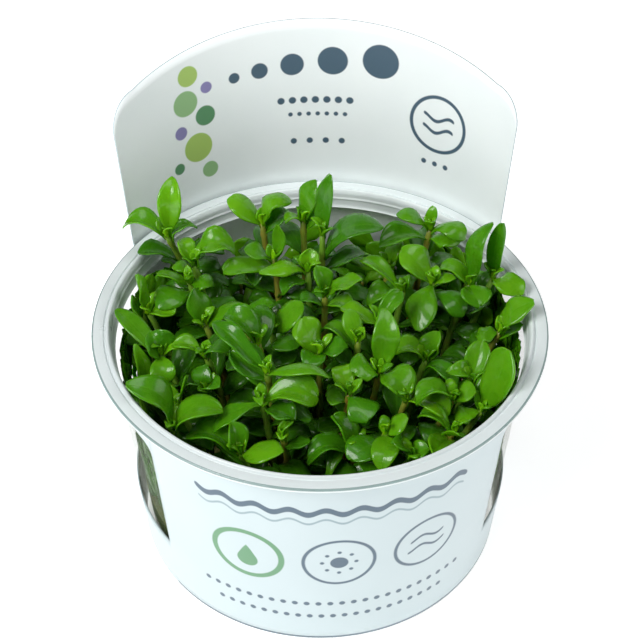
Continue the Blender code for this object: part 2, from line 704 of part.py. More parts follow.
def sleeve_columns():
    """Return the sleeve's columns as (azimuth, distance across the card or None)."""
    corner = math.degrees(WINDOW_CORNER / outer_radius(WINDOW_TOP))
    front = spread(FRONT_LEFT, FRONT_RIGHT, FRONT_COLUMNS)
    right = [FRONT_RIGHT + corner] + spread(FRONT_RIGHT + corner, REAR_RIGHT, WINDOW_COLUMNS)[1:]
    left = spread(REAR_LEFT, FRONT_LEFT + 360.0 - corner, WINDOW_COLUMNS) + [FRONT_LEFT + 360.0]
    card = [(CARD_MIDDLE + across / CARD_HALF_WIDTH * CARD_HALF_ANGLE, across)
            for across in card_columns()]
    return [(turn, None) for turn in front + right] + card + [(turn, None) for turn in left]


def sheet_radius(turn, height):
    """Return the sleeve's inner radius: on the cup in front, outside the flange behind."""
    wall = outer_radius(height) + GAP
    away = abs((turn - FRONT_MIDDLE + 180.0) % 360.0 - 180.0)
    ramp = min(max((away - LIFT_START) / (LIFT_END - LIFT_START), 0.0), 1.0)
    bulge = ramp * ramp * (3.0 - 2.0 * ramp)
    lift = CARD_RADIUS - outer_radius(RIM_HEIGHT) - GAP
    rise = min(max((height - WINDOW_BOTTOM) / (RIM_HEIGHT - WINDOW_BOTTOM), 0.0), 1.0)
    return wall + lift * bulge * rise


def sleeve_mesh(name):
    """Return the sleeve's open inner sheet, bent round the cup, with its two windows."""
    columns = sleeve_columns()
    rows = [SLEEVE_BOTTOM, WINDOW_BOTTOM, WINDOW_TOP - WINDOW_CORNER, WINDOW_TOP, STRIP_TOP,
            *CARD_ROWS, CARD_SIDE_TOP, None]
    wide, tall = len(columns) - 1, len(rows) - 1
    bm = bmesh.new()
    bmesh.ops.create_grid(bm, x_segments=wide, y_segments=tall, size=1.0)
    doomed = []
    for face in bm.faces:
        middle = face.calc_center_median()
        column = int((middle.x + 1.0) / 2.0 * wide)
        row = int((middle.y + 1.0) / 2.0 * tall)
        turn = (columns[column][0] + columns[column + 1][0]) / 2.0
        in_window = FRONT_RIGHT < turn < REAR_RIGHT or REAR_LEFT < turn < FRONT_LEFT + 360.0
        on_card = columns[column][1] is not None and columns[column + 1][1] is not None
        if row in (1, 2) and in_window or row >= 4 and not on_card:
            doomed.append(face)
    soft = {FRONT_RIGHT: 1.0, FRONT_LEFT: -1.0, FRONT_LEFT + 360.0: -1.0}
    for vert in bm.verts:
        turn, across = columns[round((vert.co.x + 1.0) / 2.0 * wide)]
        height = rows[round((vert.co.y + 1.0) / 2.0 * tall)]
        if height is None:
            height = card_top(across) if across is not None else CARD_SIDE_TOP + 1.0
        if height == WINDOW_TOP and turn in soft:
            cut = CORNER_CUT * WINDOW_CORNER
            height -= cut
            turn += soft[turn] * math.degrees(cut / outer_radius(height))
        radius = sheet_radius(turn, height)
        way = math.radians(turn)
        vert.co = Vector((radius * math.sin(way), -radius * math.cos(way), height)) * MM
    bmesh.ops.delete(bm, geom=doomed, context="FACES")
    bmesh.ops.remove_doubles(bm, verts=bm.verts, dist=0.00002)
    mesh = bpy.data.meshes.new(name)
    bm.to_mesh(mesh)
    bm.free()
    return mesh


def add_sleeve(parent, collection):
    """Add the printed sheet: a band round the cup that rises behind it as a card."""
    surface = material("label_paper", (0.86, 0.92, 0.93), 0.45)
    sleeve = add_object("label_sleeve", sleeve_mesh("label_sleeve"), surface, parent, collection)
    thick = sleeve.modifiers.new("Sheet", "SOLIDIFY")
    thick.thickness = SHEET * MM
    thick.offset = 1.0
    thick.use_even_offset = True


def add_shoots(parent, collection):
    """Grow every shoot and add it as one object."""
    garden = Garden()
    for number, shoot in enumerate(SHOOTS):
        garden.plant(number, shoot)
    garden.grow_shown_leaves()
    garden.grow_under_leaves()
    for number, (stem, _, crown, root) in enumerate(garden.stems):
        name = f"shoot_{number + 1:02d}"
        tint = 0.04 * (number % 5)
        surface = material(f"leaf_{number + 1:02d}", (0.13 + tint, 0.36 + tint, 0.02), 0.35)
        add_object(name, shoot_mesh(name, stem, crown, root), surface, parent, collection)


def main():
    """Clear the scene and build the potted plant."""
    for old in list(bpy.data.objects):
        bpy.data.objects.remove(old, do_unlink=True)
    collection = bpy.data.collections.new(COLLECTION)
    bpy.context.scene.collection.children.link(collection)
    parent = bpy.data.objects.new("plant_in_cup", None)
    collection.objects.link(parent)
    add_cup(parent, collection)
    add_sleeve(parent, collection)
    add_gel(parent, collection)
    add_shoots(parent, collection)


main()
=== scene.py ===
"""Potted lemon bacopa, dressed: the looks of every piece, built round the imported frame.

Shapes are written in millimetres and scaled to metres as the last step of making a mesh. The origin is
the middle of the cup's base, the front faces -Y and +Z is up, as in the frame.
"""

import logging
import math
import random
from dataclasses import dataclass, field, replace
from enum import Enum, IntEnum

import bmesh
import bpy
from mathutils import Matrix, Vector
from mathutils.bvhtree import BVHTree


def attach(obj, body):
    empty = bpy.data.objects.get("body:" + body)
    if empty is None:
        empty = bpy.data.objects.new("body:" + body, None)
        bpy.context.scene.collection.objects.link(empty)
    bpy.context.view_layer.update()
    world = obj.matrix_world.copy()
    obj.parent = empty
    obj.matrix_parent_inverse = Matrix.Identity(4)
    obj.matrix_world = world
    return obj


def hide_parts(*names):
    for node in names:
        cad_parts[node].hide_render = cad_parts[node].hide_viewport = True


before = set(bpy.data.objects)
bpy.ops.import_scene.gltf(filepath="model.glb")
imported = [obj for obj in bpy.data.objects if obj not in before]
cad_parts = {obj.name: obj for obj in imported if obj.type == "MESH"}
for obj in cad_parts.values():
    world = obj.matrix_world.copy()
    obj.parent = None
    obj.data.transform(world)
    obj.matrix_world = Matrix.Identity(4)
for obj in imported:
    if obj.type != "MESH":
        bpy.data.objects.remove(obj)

log = logging.getLogger("potted_bacopa")

MM = 0.001
BODY = "root"
UP = Vector((0.0, 0.0, 1.0))

# Sockets of Blender's colour Mix node, which are numbered
MIX_SHARE, MIX_A, MIX_B, MIX_COLOUR = 0, 6, 7, 2


def linear(hex_colour: str) -> tuple[float, float, float, float]:
    """Turn an sRGB hex colour into linear red, green, blue and alpha.

    Args:
        hex_colour: Six hex digits, with or without a leading hash.

    Returns:
        The linear colour, with an alpha of 1.
    """
    digits = hex_colour.lstrip("#")
    parts = [int(digits[k:k + 2], 16) / 255.0 for k in (0, 2, 4)]
    shades = [part / 12.92 if part <= 0.04045 else ((part + 0.055) / 1.055) ** 2.4 for part in parts]
    return (shades[0], shades[1], shades[2], 1.0)


def per_metre(pattern_mm: float) -> float:
    """Return the texture scale at which one pattern cell measures that many millimetres."""
    return 1.0 / (pattern_mm * MM)


def add_node(tree: bpy.types.NodeTree, kind: str, inputs: dict | None = None,
             **settings: object) -> bpy.types.Node:
    """Add a node with its settings and links.

    Args:
        tree: The material's node tree.
        kind: The node's type, without the words ShaderNode that it starts with.
        inputs: For each input's name or number, the output socket to link or the value to set.
        settings: The node's own options.

    Returns:
        The new node.
    """
    made = tree.nodes.new("ShaderNode" + kind)
    for name, value in settings.items():
        setattr(made, name, value)
    for name, value in (inputs or {}).items():
        if isinstance(value, bpy.types.NodeSocket):
            tree.links.new(value, made.inputs[name])
        else:
            made.inputs[name].default_value = value
    return made


def new_material(name: str) -> tuple[bpy.types.Material, bpy.types.NodeTree, bpy.types.Node]:
    """Start a material.

    Args:
        name: The finish's name.

    Returns:
        The material, its node tree and its Principled shader.
    """
    made = bpy.data.materials.new(name)
    made.use_nodes = True
    return made, made.node_tree, made.node_tree.nodes["Principled BSDF"]


def set_shader(shader: bpy.types.Node, **values: object) -> None:
    """Set values on a shader's own sockets.

    Args:
        shader: The Principled shader.
        values: Each socket's name in lower case with underscores, and its value.
    """
    for name, value in values.items():
        socket = name.replace("_", " ").title().replace("Ior", "IOR")
        shader.inputs[socket].default_value = value


def finish_piece(name: str, bm: bmesh.types.BMesh, materials: list[bpy.types.Material],
                 node: str | None) -> bpy.types.Object:
    """Turn a bmesh in millimetres into a finished piece.

    Args:
        name: The piece's name.
        bm: Its shape; it is freed.
        materials: Its materials, in the order of the faces' numbers.
        node: The CAD node that it stands for, or None where it only grows beside the others.

    Returns:
        The new object, riding on its body.
    """
    bmesh.ops.scale(bm, vec=(MM, MM, MM), verts=bm.verts)
    for face in bm.faces:
        face.smooth = True
    mesh = bpy.data.meshes.new(name)
    bm.to_mesh(mesh)
    bm.free()
    for surface in materials:
        mesh.materials.append(surface)
    piece = bpy.data.objects.new(name, mesh)
    bpy.context.scene.collection.objects.link(piece)
    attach(piece, BODY)
    if node:
        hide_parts(node)
    log.info("%s: %d faces, for node %s", name, len(mesh.polygons), node)
    return piece


def spun(points: list[tuple[float, float]], softened: dict[int, tuple[float, int]],
         steps: int) -> bmesh.types.BMesh:
    """Spin a profile round the upright axis into a closed body.

    Args:
        points: The profile's corners as (radius, height), from the axis round to the axis.
        softened: For a corner's number, the length cut off its sides and its round's segments.
        steps: How many steps make the whole turn.

    Returns:
        The body, with its poles and its seam closed and its faces outward.
    """
    bm = bmesh.new()
    verts = [bm.verts.new((radius, 0.0, height)) for radius, height in points]
    for one, other in zip(verts, verts[1:]):
        bm.edges.new((one, other))
    for corner, (cut, segments) in softened.items():
        bmesh.ops.bevel(bm, geom=[verts[corner]], offset=cut, offset_type="OFFSET", segments=segments,
                        profile=0.5, affect="VERTICES", material=-1)
    bmesh.ops.spin(bm, geom=bm.verts[:] + bm.edges[:], cent=(0.0, 0.0, 0.0), axis=UP,
                   angle=math.tau, steps=steps, use_merge=True)
    bmesh.ops.remove_doubles(bm, verts=bm.verts, dist=0.002)
    bmesh.ops.recalc_face_normals(bm, faces=bm.faces)
    return bm


def spread(start: float, end: float, count: int) -> list[float]:
    """Return count + 1 values evenly spread from start to end."""
    return [start + (end - start) * k / count for k in range(count + 1)]


@dataclass(frozen=True)
class MouldedPolypropylene:
    """Clear polypropylene, injection moulded: thin walls are clear, thick rims set milky white."""

    name: str
    milk: str
    clear: float
    through: float
    roughness: float = 0.2
    gloss: float = 0.6
    ior: float = 1.49
    flow_mm: float = 9.0
    # The mould's grain is finer than 0.1 mm and is drawn as coarse as it needs to show.
    grain_mm: float = 0.6
    drift: float = 0.4

    def material(self) -> bpy.types.Material:
        """Return the plastic: milk and clearness by its thickness, gloss that drifts as it set.

        Returns:
            The material.
        """
        made, tree, shader = new_material(self.name)
        set_shader(shader, base_color=linear(self.milk), ior=self.ior, metallic=0.0, alpha=self.through,
                   transmission_weight=self.clear, specular_ior_level=self.gloss)
        place = add_node(tree, "TexCoord").outputs["Object"]
        flow = add_node(tree, "TexNoise", {
            "Vector": place, "Scale": per_metre(self.flow_mm), "Detail": 3.0,
        })
        rough = add_node(tree, "MapRange",
                         {"Value": flow.outputs["Fac"], "To Min": self.roughness * (1.0 - self.drift),
                          "To Max": self.roughness * (1.0 + self.drift)})
        grain = add_node(tree, "TexNoise", {
            "Vector": place, "Scale": per_metre(self.grain_mm), "Detail": 2.0,
        })
        bump = add_node(tree, "Bump", {
            "Height": grain.outputs["Fac"], "Strength": 0.05, "Distance": 0.1 * MM,
        })
        tree.links.new(rough.outputs["Result"], shader.inputs["Roughness"])
        tree.links.new(bump.outputs["Normal"], shader.inputs["Normal"])
        return made


class Ink(Enum):
    """The printing inks of the label."""

    BLUE_GREY = "#465E70"
    PALE_BLUE_GREY = "#8FA5AC"
    GREEN = "#5C9268"
    PALE_GREEN = "#93BC86"
    LIME = "#A9C96A"
    VIOLET = "#8C86B8"


@dataclass(frozen=True)
class Mark:
    """One printed mark: all that lies within reach of a flat box, or a line at that reach round it.

    Places are millimetres on the label: from the middle of its face, and up from the pot's base.
    """

    left: float
    low: float
    reach: float
    ink: Ink
    right: float | None = None
    high: float | None = None
    line: float | None = None
    waved: bool = False
    pitch: float | None = None

    def corners(self) -> tuple[Vector, Vector]:
        """Return the lowest and the highest corner of the box inside the mark.

        Returns:
            The corners.
        """
        right = self.left if self.right is None else self.right
        high = self.low if self.high is None else self.high
        return Vector((self.left, self.low, 0.0)), Vector((right, high, 0.0))


def discs(ink: Ink, *rows: tuple[float, float, float]) -> list[Mark]:
    """Return filled round marks in one ink from rows of (across, up, radius)."""
    return [Mark(across, up, radius, ink) for across, up, radius in rows]


def ring(across: float, up: float, radius: float, ink: Ink, line: float) -> Mark:
    """Return a ring, its line centred on the radius."""
    return Mark(across, up, radius, ink, line=line)


def sun(across: float, up: float, ink: Ink) -> list[Mark]:
    """Return a small sun: a disc with eight dots round it.

    Args:
        across: Its middle's place across the label.
        up: Its middle's height.
        ink: Its ink.

    Returns:
        The marks.
    """
    turns = [math.tau * k / 8.0 for k in range(8)]
    dots = [(across + 3.3 * math.cos(turn), up + 3.3 * math.sin(turn), 0.42) for turn in turns]
    return discs(ink, (across, up, 1.75), *dots)


def drop(across: float, up: float, ink: Ink) -> list[Mark]:
    """Return a water drop: a round foot under discs that shrink towards its tip."""
    steps = [k / 9.0 for k in range(10)]
    return discs(ink, *[(across, up + 4.4 * step, 2.0 * (1.0 - step) ** 0.9 + 0.12) for step in steps])


def band_marks() -> tuple[Mark, ...]:
    """Return the generic print on the front of the band: waves, three care rings and dotted rules.

    Returns:
        The marks.
    """
    return (
        Mark(-26.0, 43.2, 0.8, Ink.BLUE_GREY, right=26.0, waved=True),
        Mark(-26.0, 40.4, 0.3, Ink.PALE_BLUE_GREY, right=26.0, waved=True),
        ring(-17.0, 27.2, 6.9, Ink.GREEN, 1.2),
        *drop(-17.0, 25.4, Ink.GREEN),
        ring(1.0, 27.2, 6.9, Ink.BLUE_GREY, 0.7),
        *sun(1.0, 27.2, Ink.BLUE_GREY),
        ring(19.0, 27.2, 6.9, Ink.BLUE_GREY, 0.7),
        Mark(15.6, 28.9, 0.36, Ink.BLUE_GREY, right=22.4, waved=True),
        Mark(15.2, 25.9, 0.36, Ink.BLUE_GREY, right=22.8, waved=True),
        Mark(-27.0, 13.2, 0.62, Ink.BLUE_GREY, right=27.0, pitch=2.4),
        Mark(-24.0, 8.8, 0.62, Ink.BLUE_GREY, right=24.0, pitch=2.4),
        Mark(-60.0, 1.0, 0.28, Ink.BLUE_GREY, right=60.0),
    )


def card_marks() -> tuple[Mark, ...]:
    """Return the generic print on the card's face: growing discs, dots, a ring and tinted bubbles.

    Returns:
        The marks.
    """
    growing = [(-17.0, 1.2), (-11.4, 1.8), (-4.4, 2.5), (4.2, 3.2), (14.4, 3.9)]
    return (
        *discs(Ink.BLUE_GREY, *[(across, 79.6 + radius, radius) for across, radius in growing]),
        Mark(-7.0, 73.6, 0.8, Ink.BLUE_GREY, right=8.0, pitch=2.5),
        Mark(-5.0, 70.2, 0.5, Ink.BLUE_GREY, right=7.0, pitch=2.0),
        Mark(-4.4, 63.6, 0.7, Ink.BLUE_GREY, right=6.4, pitch=3.6),
        ring(28.3, 72.0, 6.4, Ink.BLUE_GREY, 0.8),
        Mark(25.0, 73.4, 0.4, Ink.BLUE_GREY, right=31.6, waved=True),
        Mark(25.0, 70.6, 0.4, Ink.BLUE_GREY, right=31.6, waved=True),
        *discs(Ink.BLUE_GREY, (25.6, 62.4, 0.6), (28.3, 62.4, 0.6), (31.0, 62.4, 0.6)),
        *discs(Ink.LIME, (-27.4, 84.2, 2.3), (-26.6, 67.0, 3.4)),
        *discs(Ink.VIOLET, (-23.4, 80.4, 1.3), (-30.4, 71.8, 1.5)),
        *discs(Ink.PALE_GREEN, (-28.6, 78.2, 2.9), (-24.2, 60.8, 1.9)),
        *discs(Ink.GREEN, (-24.2, 74.0, 2.3), (-31.8, 63.6, 1.3)),
    )


@dataclass(frozen=True)
class CoatedCard:
    """White label card with a thin gloss coat, offset printed: soft sheen over a faint fibre mottle."""

    name: str
    marks: tuple[Mark, ...]
    white: str
    shade: str
    roughness: float = 0.42
    # Paper fibres are about 0.03 mm across and are drawn as coarse as they need to show.
    fibre_mm: float = 0.5
    mottle_mm: float = 14.0
    wave_height: float = 0.7
    wave_length: float = 6.5
    soft_edge: float = 0.12
    drift: float = 0.06
    one_row: float = 1000.0

    def inked(self, tree: bpy.types.NodeTree, place: bpy.types.NodeSocket,
              waved: bpy.types.NodeSocket, mark: Mark) -> bpy.types.NodeSocket:
        """Add the nodes that say where one mark is printed.

        Args:
            tree: The material's node tree.
            place: The place on the label in millimetres.
            waved: The same, moved up and down by the wave.
            mark: The mark.

        Returns:
            A socket that is 1 on the mark and 0 off it.
        """
        low, high = mark.corners()
        here = waved if mark.waved else place
        inner = add_node(tree, "VectorMath", {0: here, 1: low}, operation="MAXIMUM")
        inner = add_node(tree, "VectorMath", {0: inner.outputs[0], 1: high}, operation="MINIMUM")
        if mark.pitch:
            step = Vector((mark.pitch, self.one_row, 1.0))
            moved = add_node(tree, "VectorMath", {0: inner.outputs[0], 1: low}, operation="SUBTRACT")
            snapped = add_node(tree, "VectorMath", {0: moved.outputs[0], 1: step}, operation="DIVIDE")
            half = add_node(tree, "VectorMath", {0: snapped.outputs[0], 1: (0.5, 0.5, 0.5)},
                            operation="ADD")
            whole = add_node(tree, "VectorMath", {0: half.outputs[0]}, operation="FLOOR")
            inner = add_node(tree, "VectorMath", {0: whole.outputs[0], 1: step, 2: low},
                             operation="MULTIPLY_ADD")
        away = add_node(tree, "VectorMath", {0: here, 1: inner.outputs[0]},
                        operation="DISTANCE").outputs["Value"]
        edge = mark.reach
        if mark.line:
            off = add_node(tree, "Math", {0: away, 1: mark.reach}, operation="SUBTRACT")
            away = add_node(tree, "Math", {0: off.outputs[0]}, operation="ABSOLUTE").outputs[0]
            edge = mark.line / 2.0
        return add_node(tree, "MapRange",
                        {"Value": away, "From Min": edge - self.soft_edge, "From Max": edge + self.soft_edge,
                         "To Min": 1.0, "To Max": 0.0}).outputs["Result"]

    def material(self) -> bpy.types.Material:
        """Return the card: fibre mottle under its marks, each in its ink.

        Returns:
            The material.
        """
        made, tree, shader = new_material(self.name)
        set_shader(shader, ior=1.5, metallic=0.0, coat_weight=0.15, coat_roughness=0.3)
        room = add_node(tree, "TexCoord").outputs["Object"]
        mottle = add_node(tree, "TexNoise", {
            "Vector": room, "Scale": per_metre(self.mottle_mm), "Detail": 4.0,
        })
        colour = add_node(tree, "Mix", {
            MIX_SHARE: mottle.outputs["Fac"], MIX_A: linear(self.white), MIX_B: linear(self.shade),
        }, data_type="RGBA").outputs[MIX_COLOUR]
        sheet = add_node(tree, "UVMap", uv_map=LabelSleeve.UV)
        place = add_node(tree, "VectorMath", {
            0: sheet.outputs["UV"], "Scale": LabelSleeve.UV_MM,
        }, operation="SCALE").outputs[0]
        parts = add_node(tree, "SeparateXYZ", {0: place})
        turn = add_node(tree, "Math", {0: parts.outputs["X"], 1: math.tau / self.wave_length},
                        operation="MULTIPLY")
        swing = add_node(tree, "Math", {0: turn.outputs[0]}, operation="SINE")
        rise = add_node(tree, "Math", {
            0: swing.outputs[0], 1: self.wave_height, 2: parts.outputs["Y"],
        }, operation="MULTIPLY_ADD")
        waved = add_node(tree, "CombineXYZ", {"X": parts.outputs["X"], "Y": rise.outputs[0]}).outputs[0]
        for mark in self.marks:
            colour = add_node(tree, "Mix",
                              {MIX_SHARE: self.inked(tree, place, waved, mark), MIX_A: colour,
                               MIX_B: linear(mark.ink.value)}, data_type="RGBA").outputs[MIX_COLOUR]
        fibre = add_node(tree, "TexNoise", {
            "Vector": room, "Scale": per_metre(self.fibre_mm), "Detail": 3.0,
        })
        rough = add_node(tree, "MapRange",
                         {"Value": fibre.outputs["Fac"], "To Min": self.roughness - self.drift,
                          "To Max": self.roughness + self.drift})
        bump = add_node(tree, "Bump", {
            "Height": fibre.outputs["Fac"], "Strength": 0.06, "Distance": 0.05 * MM,
        })
        tree.links.new(colour, shader.inputs["Base Color"])
        tree.links.new(rough.outputs["Result"], shader.inputs["Roughness"])
        tree.links.new(bump.outputs["Normal"], shader.inputs["Normal"])
        return made


@dataclass(frozen=True)
class AgarGel:
    """Agar jelly, poured and set: cloudy, faintly yellow and wet on top."""

    name: str = "set_agar_gel"
    clear: str = "#9C9F62"
    cloudy: str = "#70773A"
    roughness: float = 0.22
    cloud_mm: float = 8.0
    ripple_mm: float = 3.0

    def material(self) -> bpy.types.Material:
        """Return the gel: part see-through, with cloudy patches and a slightly rippled top.

        Returns:
            The material.
        """
        made, tree, shader = new_material(self.name)
        set_shader(shader, ior=1.34, roughness=self.roughness, metallic=0.0, transmission_weight=0.55,
                   subsurface_weight=0.3, subsurface_scale=4.0 * MM)
        place = add_node(tree, "TexCoord").outputs["Object"]
        cloud = add_node(tree, "TexNoise", {
            "Vector": place, "Scale": per_metre(self.cloud_mm), "Detail": 4.0,
        })
        colour = add_node(tree, "Mix", {
            MIX_SHARE: cloud.outputs["Fac"], MIX_A: linear(self.clear), MIX_B: linear(self.cloudy),
        }, data_type="RGBA")
        ripple = add_node(tree, "TexNoise", {
            "Vector": place, "Scale": per_metre(self.ripple_mm), "Detail": 1.0,
        })
        bump = add_node(tree, "Bump", {
            "Height": ripple.outputs["Fac"], "Strength": 0.2, "Distance": 0.2 * MM,
        })
        tree.links.new(colour.outputs[MIX_COLOUR], shader.inputs["Base Color"])
        tree.links.new(bump.outputs["Normal"], shader.inputs["Normal"])
        return made


@dataclass(frozen=True)
class LeafTissue:
    """A living leaf: waxy skin over soft green tissue that lets light through, with sunken veins."""

    name: str = "waxy_leaf_tissue"
    # Colour by age, from dark old to bright young, also carries light: the darkest tone is painted shade
    # deep in the bed, and the brightest is painted light on the top leaves.
    old: str = "#133C00"
    grown: str = "#327000"
    young: str = "#82C40E"
    vein: str = "#64A01C"
    underside: str = "#41800F"
    # A lighter green mixed in at the margin: painted light, as if light shone through the thin edge.
    edge: str = "#5C9C12"
    gloss: float = 0.24
    wax: float = 0.42
    blotch_mm: float = 2.6
    # Skin cells are about 0.05 mm across and are drawn as coarse as they need to show.
    skin_mm: float = 0.35
    smoothest: float = 0.17
    roughest: float = 0.39
    vein_share: float = 0.34
    blotch_strength: float = 0.34
    ages: tuple[float, float, float] = (0.1, 0.62, 1.14)
    vein_strength: float = 0.1
    midrib_strength: float = 0.26
    margin_glow_strength: float = 0.25
    underside_strength: float = 0.55
    rib_depth: float = -2.4

    def material(self) -> bpy.types.Material:
        """Return the leaf: colour by age and side, with painted shade deep in the bed, painted light on the
        top leaves and a painted glow at the margin, veins along it, and a fine uneven gloss.

        Returns:
            The material.
        """
        made, tree, shader = new_material(self.name)
        set_shader(shader, ior=1.42, metallic=0.0, specular_ior_level=self.gloss,
                   subsurface_weight=0.35, subsurface_radius=(0.5, 1.0, 0.08),
                   subsurface_scale=1.2 * MM, coat_weight=self.wax,
                   coat_roughness=0.07, coat_ior=1.4)
        place = add_node(tree, "TexCoord").outputs["Object"]
        youth = add_node(tree, "Attribute", attribute_name=Foliage.YOUTH).outputs["Fac"]
        across = add_node(tree, "Attribute", attribute_name=Foliage.ACROSS).outputs["Fac"]
        below = add_node(tree, "Attribute", attribute_name=Foliage.BELOW).outputs["Fac"]
        blotch = add_node(tree, "TexNoise", {
            "Vector": place, "Scale": per_metre(self.blotch_mm), "Detail": 3.0,
        })
        drift = add_node(tree, "Math", {
            0: blotch.outputs["Fac"], 1: self.blotch_strength, 2: youth,
        }, operation="MULTIPLY_ADD")
        first, second, third = self.ages
        early = add_node(tree, "MapRange", {
            "Value": drift.outputs[0], "From Min": first, "From Max": second,
        })
        late = add_node(tree, "MapRange", {
            "Value": drift.outputs[0], "From Min": second, "From Max": third,
        })
        colour = add_node(tree, "Mix", {
            MIX_SHARE: early.outputs["Result"], MIX_A: linear(self.old), MIX_B: linear(self.grown),
        }, data_type="RGBA")
        colour = add_node(tree, "Mix", {
            MIX_SHARE: late.outputs["Result"], MIX_A: colour.outputs[MIX_COLOUR], MIX_B: linear(self.young),
        }, data_type="RGBA")
        side = add_node(tree, "Math", {0: across}, operation="ABSOLUTE").outputs[0]
        rib = add_node(tree, "Math", {0: side, 1: self.vein_share / 2.0}, operation="PINGPONG")
        veins = add_node(tree, "MapRange", {
            "Value": rib.outputs[0], "From Min": 0.0, "From Max": 0.05, "To Min": 1.0, "To Max": 0.0,
        })
        midrib = add_node(tree, "MapRange", {
            "Value": side, "From Min": 0.03, "From Max": 0.12, "To Min": 1.0, "To Max": 0.0,
        })
        ribs = add_node(tree, "Math", {
            0: veins.outputs["Result"], 1: self.vein_strength,
        }, operation="MULTIPLY")
        both = add_node(tree, "Math", {
            0: midrib.outputs["Result"], 1: self.midrib_strength, 2: ribs.outputs[0],
        }, operation="MULTIPLY_ADD")
        colour = add_node(tree, "Mix", {
            MIX_SHARE: both.outputs[0], MIX_A: colour.outputs[MIX_COLOUR], MIX_B: linear(self.vein),
        }, data_type="RGBA")
        # Painted light: the margin turns a lighter green where the blade is thin.
        rim = add_node(tree, "MapRange",
                       {"Value": side, "From Min": 0.86, "From Max": 1.0, "To Max": self.margin_glow_strength})
        colour = add_node(tree, "Mix", {
            MIX_SHARE: rim.outputs["Result"], MIX_A: colour.outputs[MIX_COLOUR], MIX_B: linear(self.edge),
        }, data_type="RGBA")
        pale = add_node(tree, "Math", {0: below, 1: self.underside_strength}, operation="MULTIPLY")
        colour = add_node(tree, "Mix", {
            MIX_SHARE: pale.outputs[0], MIX_A: colour.outputs[MIX_COLOUR], MIX_B: linear(self.underside),
        }, data_type="RGBA")
        skin = add_node(tree, "TexNoise", {
            "Vector": place, "Scale": per_metre(self.skin_mm), "Detail": 2.0,
        })
        rough = add_node(tree, "MapRange", {
            "Value": blotch.outputs["Fac"], "To Min": self.smoothest, "To Max": self.roughest,
        })
        relief = add_node(tree, "Math", {0: both.outputs[0], 1: self.rib_depth, 2: skin.outputs["Fac"]},
                          operation="MULTIPLY_ADD")
        bump = add_node(tree, "Bump", {
            "Height": relief.outputs[0], "Strength": 0.28, "Distance": 0.09 * MM,
        })
        tree.links.new(colour.outputs[MIX_COLOUR], shader.inputs["Base Color"])
        tree.links.new(rough.outputs["Result"], shader.inputs["Roughness"])
        tree.links.new(bump.outputs["Normal"], shader.inputs["Normal"])
        return made


@dataclass(frozen=True)
class StemTissue:
    """A fleshy young stem: green, with a red-brown blush where light and age have reached it."""

    name: str = "fleshy_stem_tissue"
    green: str = "#6E9A2C"
    blush: str = "#8A5428"
    roughness: float = 0.38
    patch_mm: float = 3.2
    # Ridges stand about 0.2 mm apart and are drawn as coarse as they need to show.
    ridge_mm: float = 0.5
    ridge_stretch: float = 0.12
    patch_strength: float = 0.9
    red_below: float = 0.35
    green_above: float = 1.05

    def material(self) -> bpy.types.Material:
        """Return the stem: green to red-brown by its own blush, finely ridged along its length.

        Returns:
            The material.
        """
        made, tree, shader = new_material(self.name)
        set_shader(shader, ior=1.42, roughness=self.roughness, metallic=0.0, subsurface_weight=0.3,
                   subsurface_radius=(0.9, 1.0, 0.2), subsurface_scale=1.0 * MM, coat_weight=0.15,
                   coat_roughness=0.2)
        place = add_node(tree, "TexCoord").outputs["Object"]
        youth = add_node(tree, "Attribute", attribute_name=Foliage.YOUTH).outputs["Fac"]
        patch = add_node(tree, "TexNoise", {
            "Vector": place, "Scale": per_metre(self.patch_mm), "Detail": 3.0,
        })
        drift = add_node(tree, "Math", {0: patch.outputs["Fac"], 1: self.patch_strength, 2: youth},
                         operation="MULTIPLY_ADD")
        red = add_node(tree, "MapRange",
                       {"Value": drift.outputs[0], "From Min": self.red_below,
                        "From Max": self.green_above, "To Min": 1.0, "To Max": 0.0})
        colour = add_node(tree, "Mix", {
            MIX_SHARE: red.outputs["Result"], MIX_A: linear(self.green), MIX_B: linear(self.blush),
        }, data_type="RGBA")
        flat = add_node(tree, "Mapping", {"Vector": place, "Scale": (1.0, 1.0, self.ridge_stretch)})
        ridge = add_node(tree, "TexNoise", {
            "Vector": flat.outputs["Vector"], "Scale": per_metre(self.ridge_mm), "Detail": 2.0,
        })
        bump = add_node(tree, "Bump", {
            "Height": ridge.outputs["Fac"], "Strength": 0.3, "Distance": 0.08 * MM,
        })
        tree.links.new(colour.outputs[MIX_COLOUR], shader.inputs["Base Color"])
        tree.links.new(bump.outputs["Normal"], shader.inputs["Normal"])
        return made


@dataclass(frozen=True)
class PaintedBoard:
    """A matt white painted board, rolled: an even pale floor for the studio."""

    name: str = "rolled_white_board"
    white: str = "#FFFFFF"
    glow_near: float = 0.56
    glow_far: float = 0.85
    near_mm: float = 60.0
    far_mm: float = 260.0
    patch_mm: float = 40.0
    smoothest: float = 0.75
    roughest: float = 0.85

    def material(self) -> bpy.types.Material:
        """Return the board: evened out away from the lamps, with a faint drift of roughness.

        Returns:
            The material.
        """
        made, tree, shader = new_material(self.name)
        set_shader(shader, base_color=linear(self.white), metallic=0.0, specular_ior_level=0.2,
                   emission_color=linear(self.white))
        place = add_node(tree, "TexCoord").outputs["Object"]
        away = add_node(tree, "VectorMath", {0: place}, operation="LENGTH")
        glow = add_node(tree, "MapRange",
                        {"Value": away.outputs["Value"], "From Min": self.near_mm * MM,
                         "From Max": self.far_mm * MM, "To Min": self.glow_near,
                         "To Max": self.glow_far})
        tree.links.new(glow.outputs["Result"], shader.inputs["Emission Strength"])
        patch = add_node(tree, "TexNoise", {"Vector": place, "Scale": per_metre(self.patch_mm)})
        rough = add_node(tree, "MapRange", {
            "Value": patch.outputs["Fac"], "To Min": self.smoothest, "To Max": self.roughest,
        })
        tree.links.new(rough.outputs["Result"], shader.inputs["Roughness"])
        return made


class CupFace(IntEnum):
    """The finish of each face of the cup, in the order of the piece's materials."""

    INSIDE = 0
    THICK = 1
    OUTSIDE = 2
    EDGE = 3


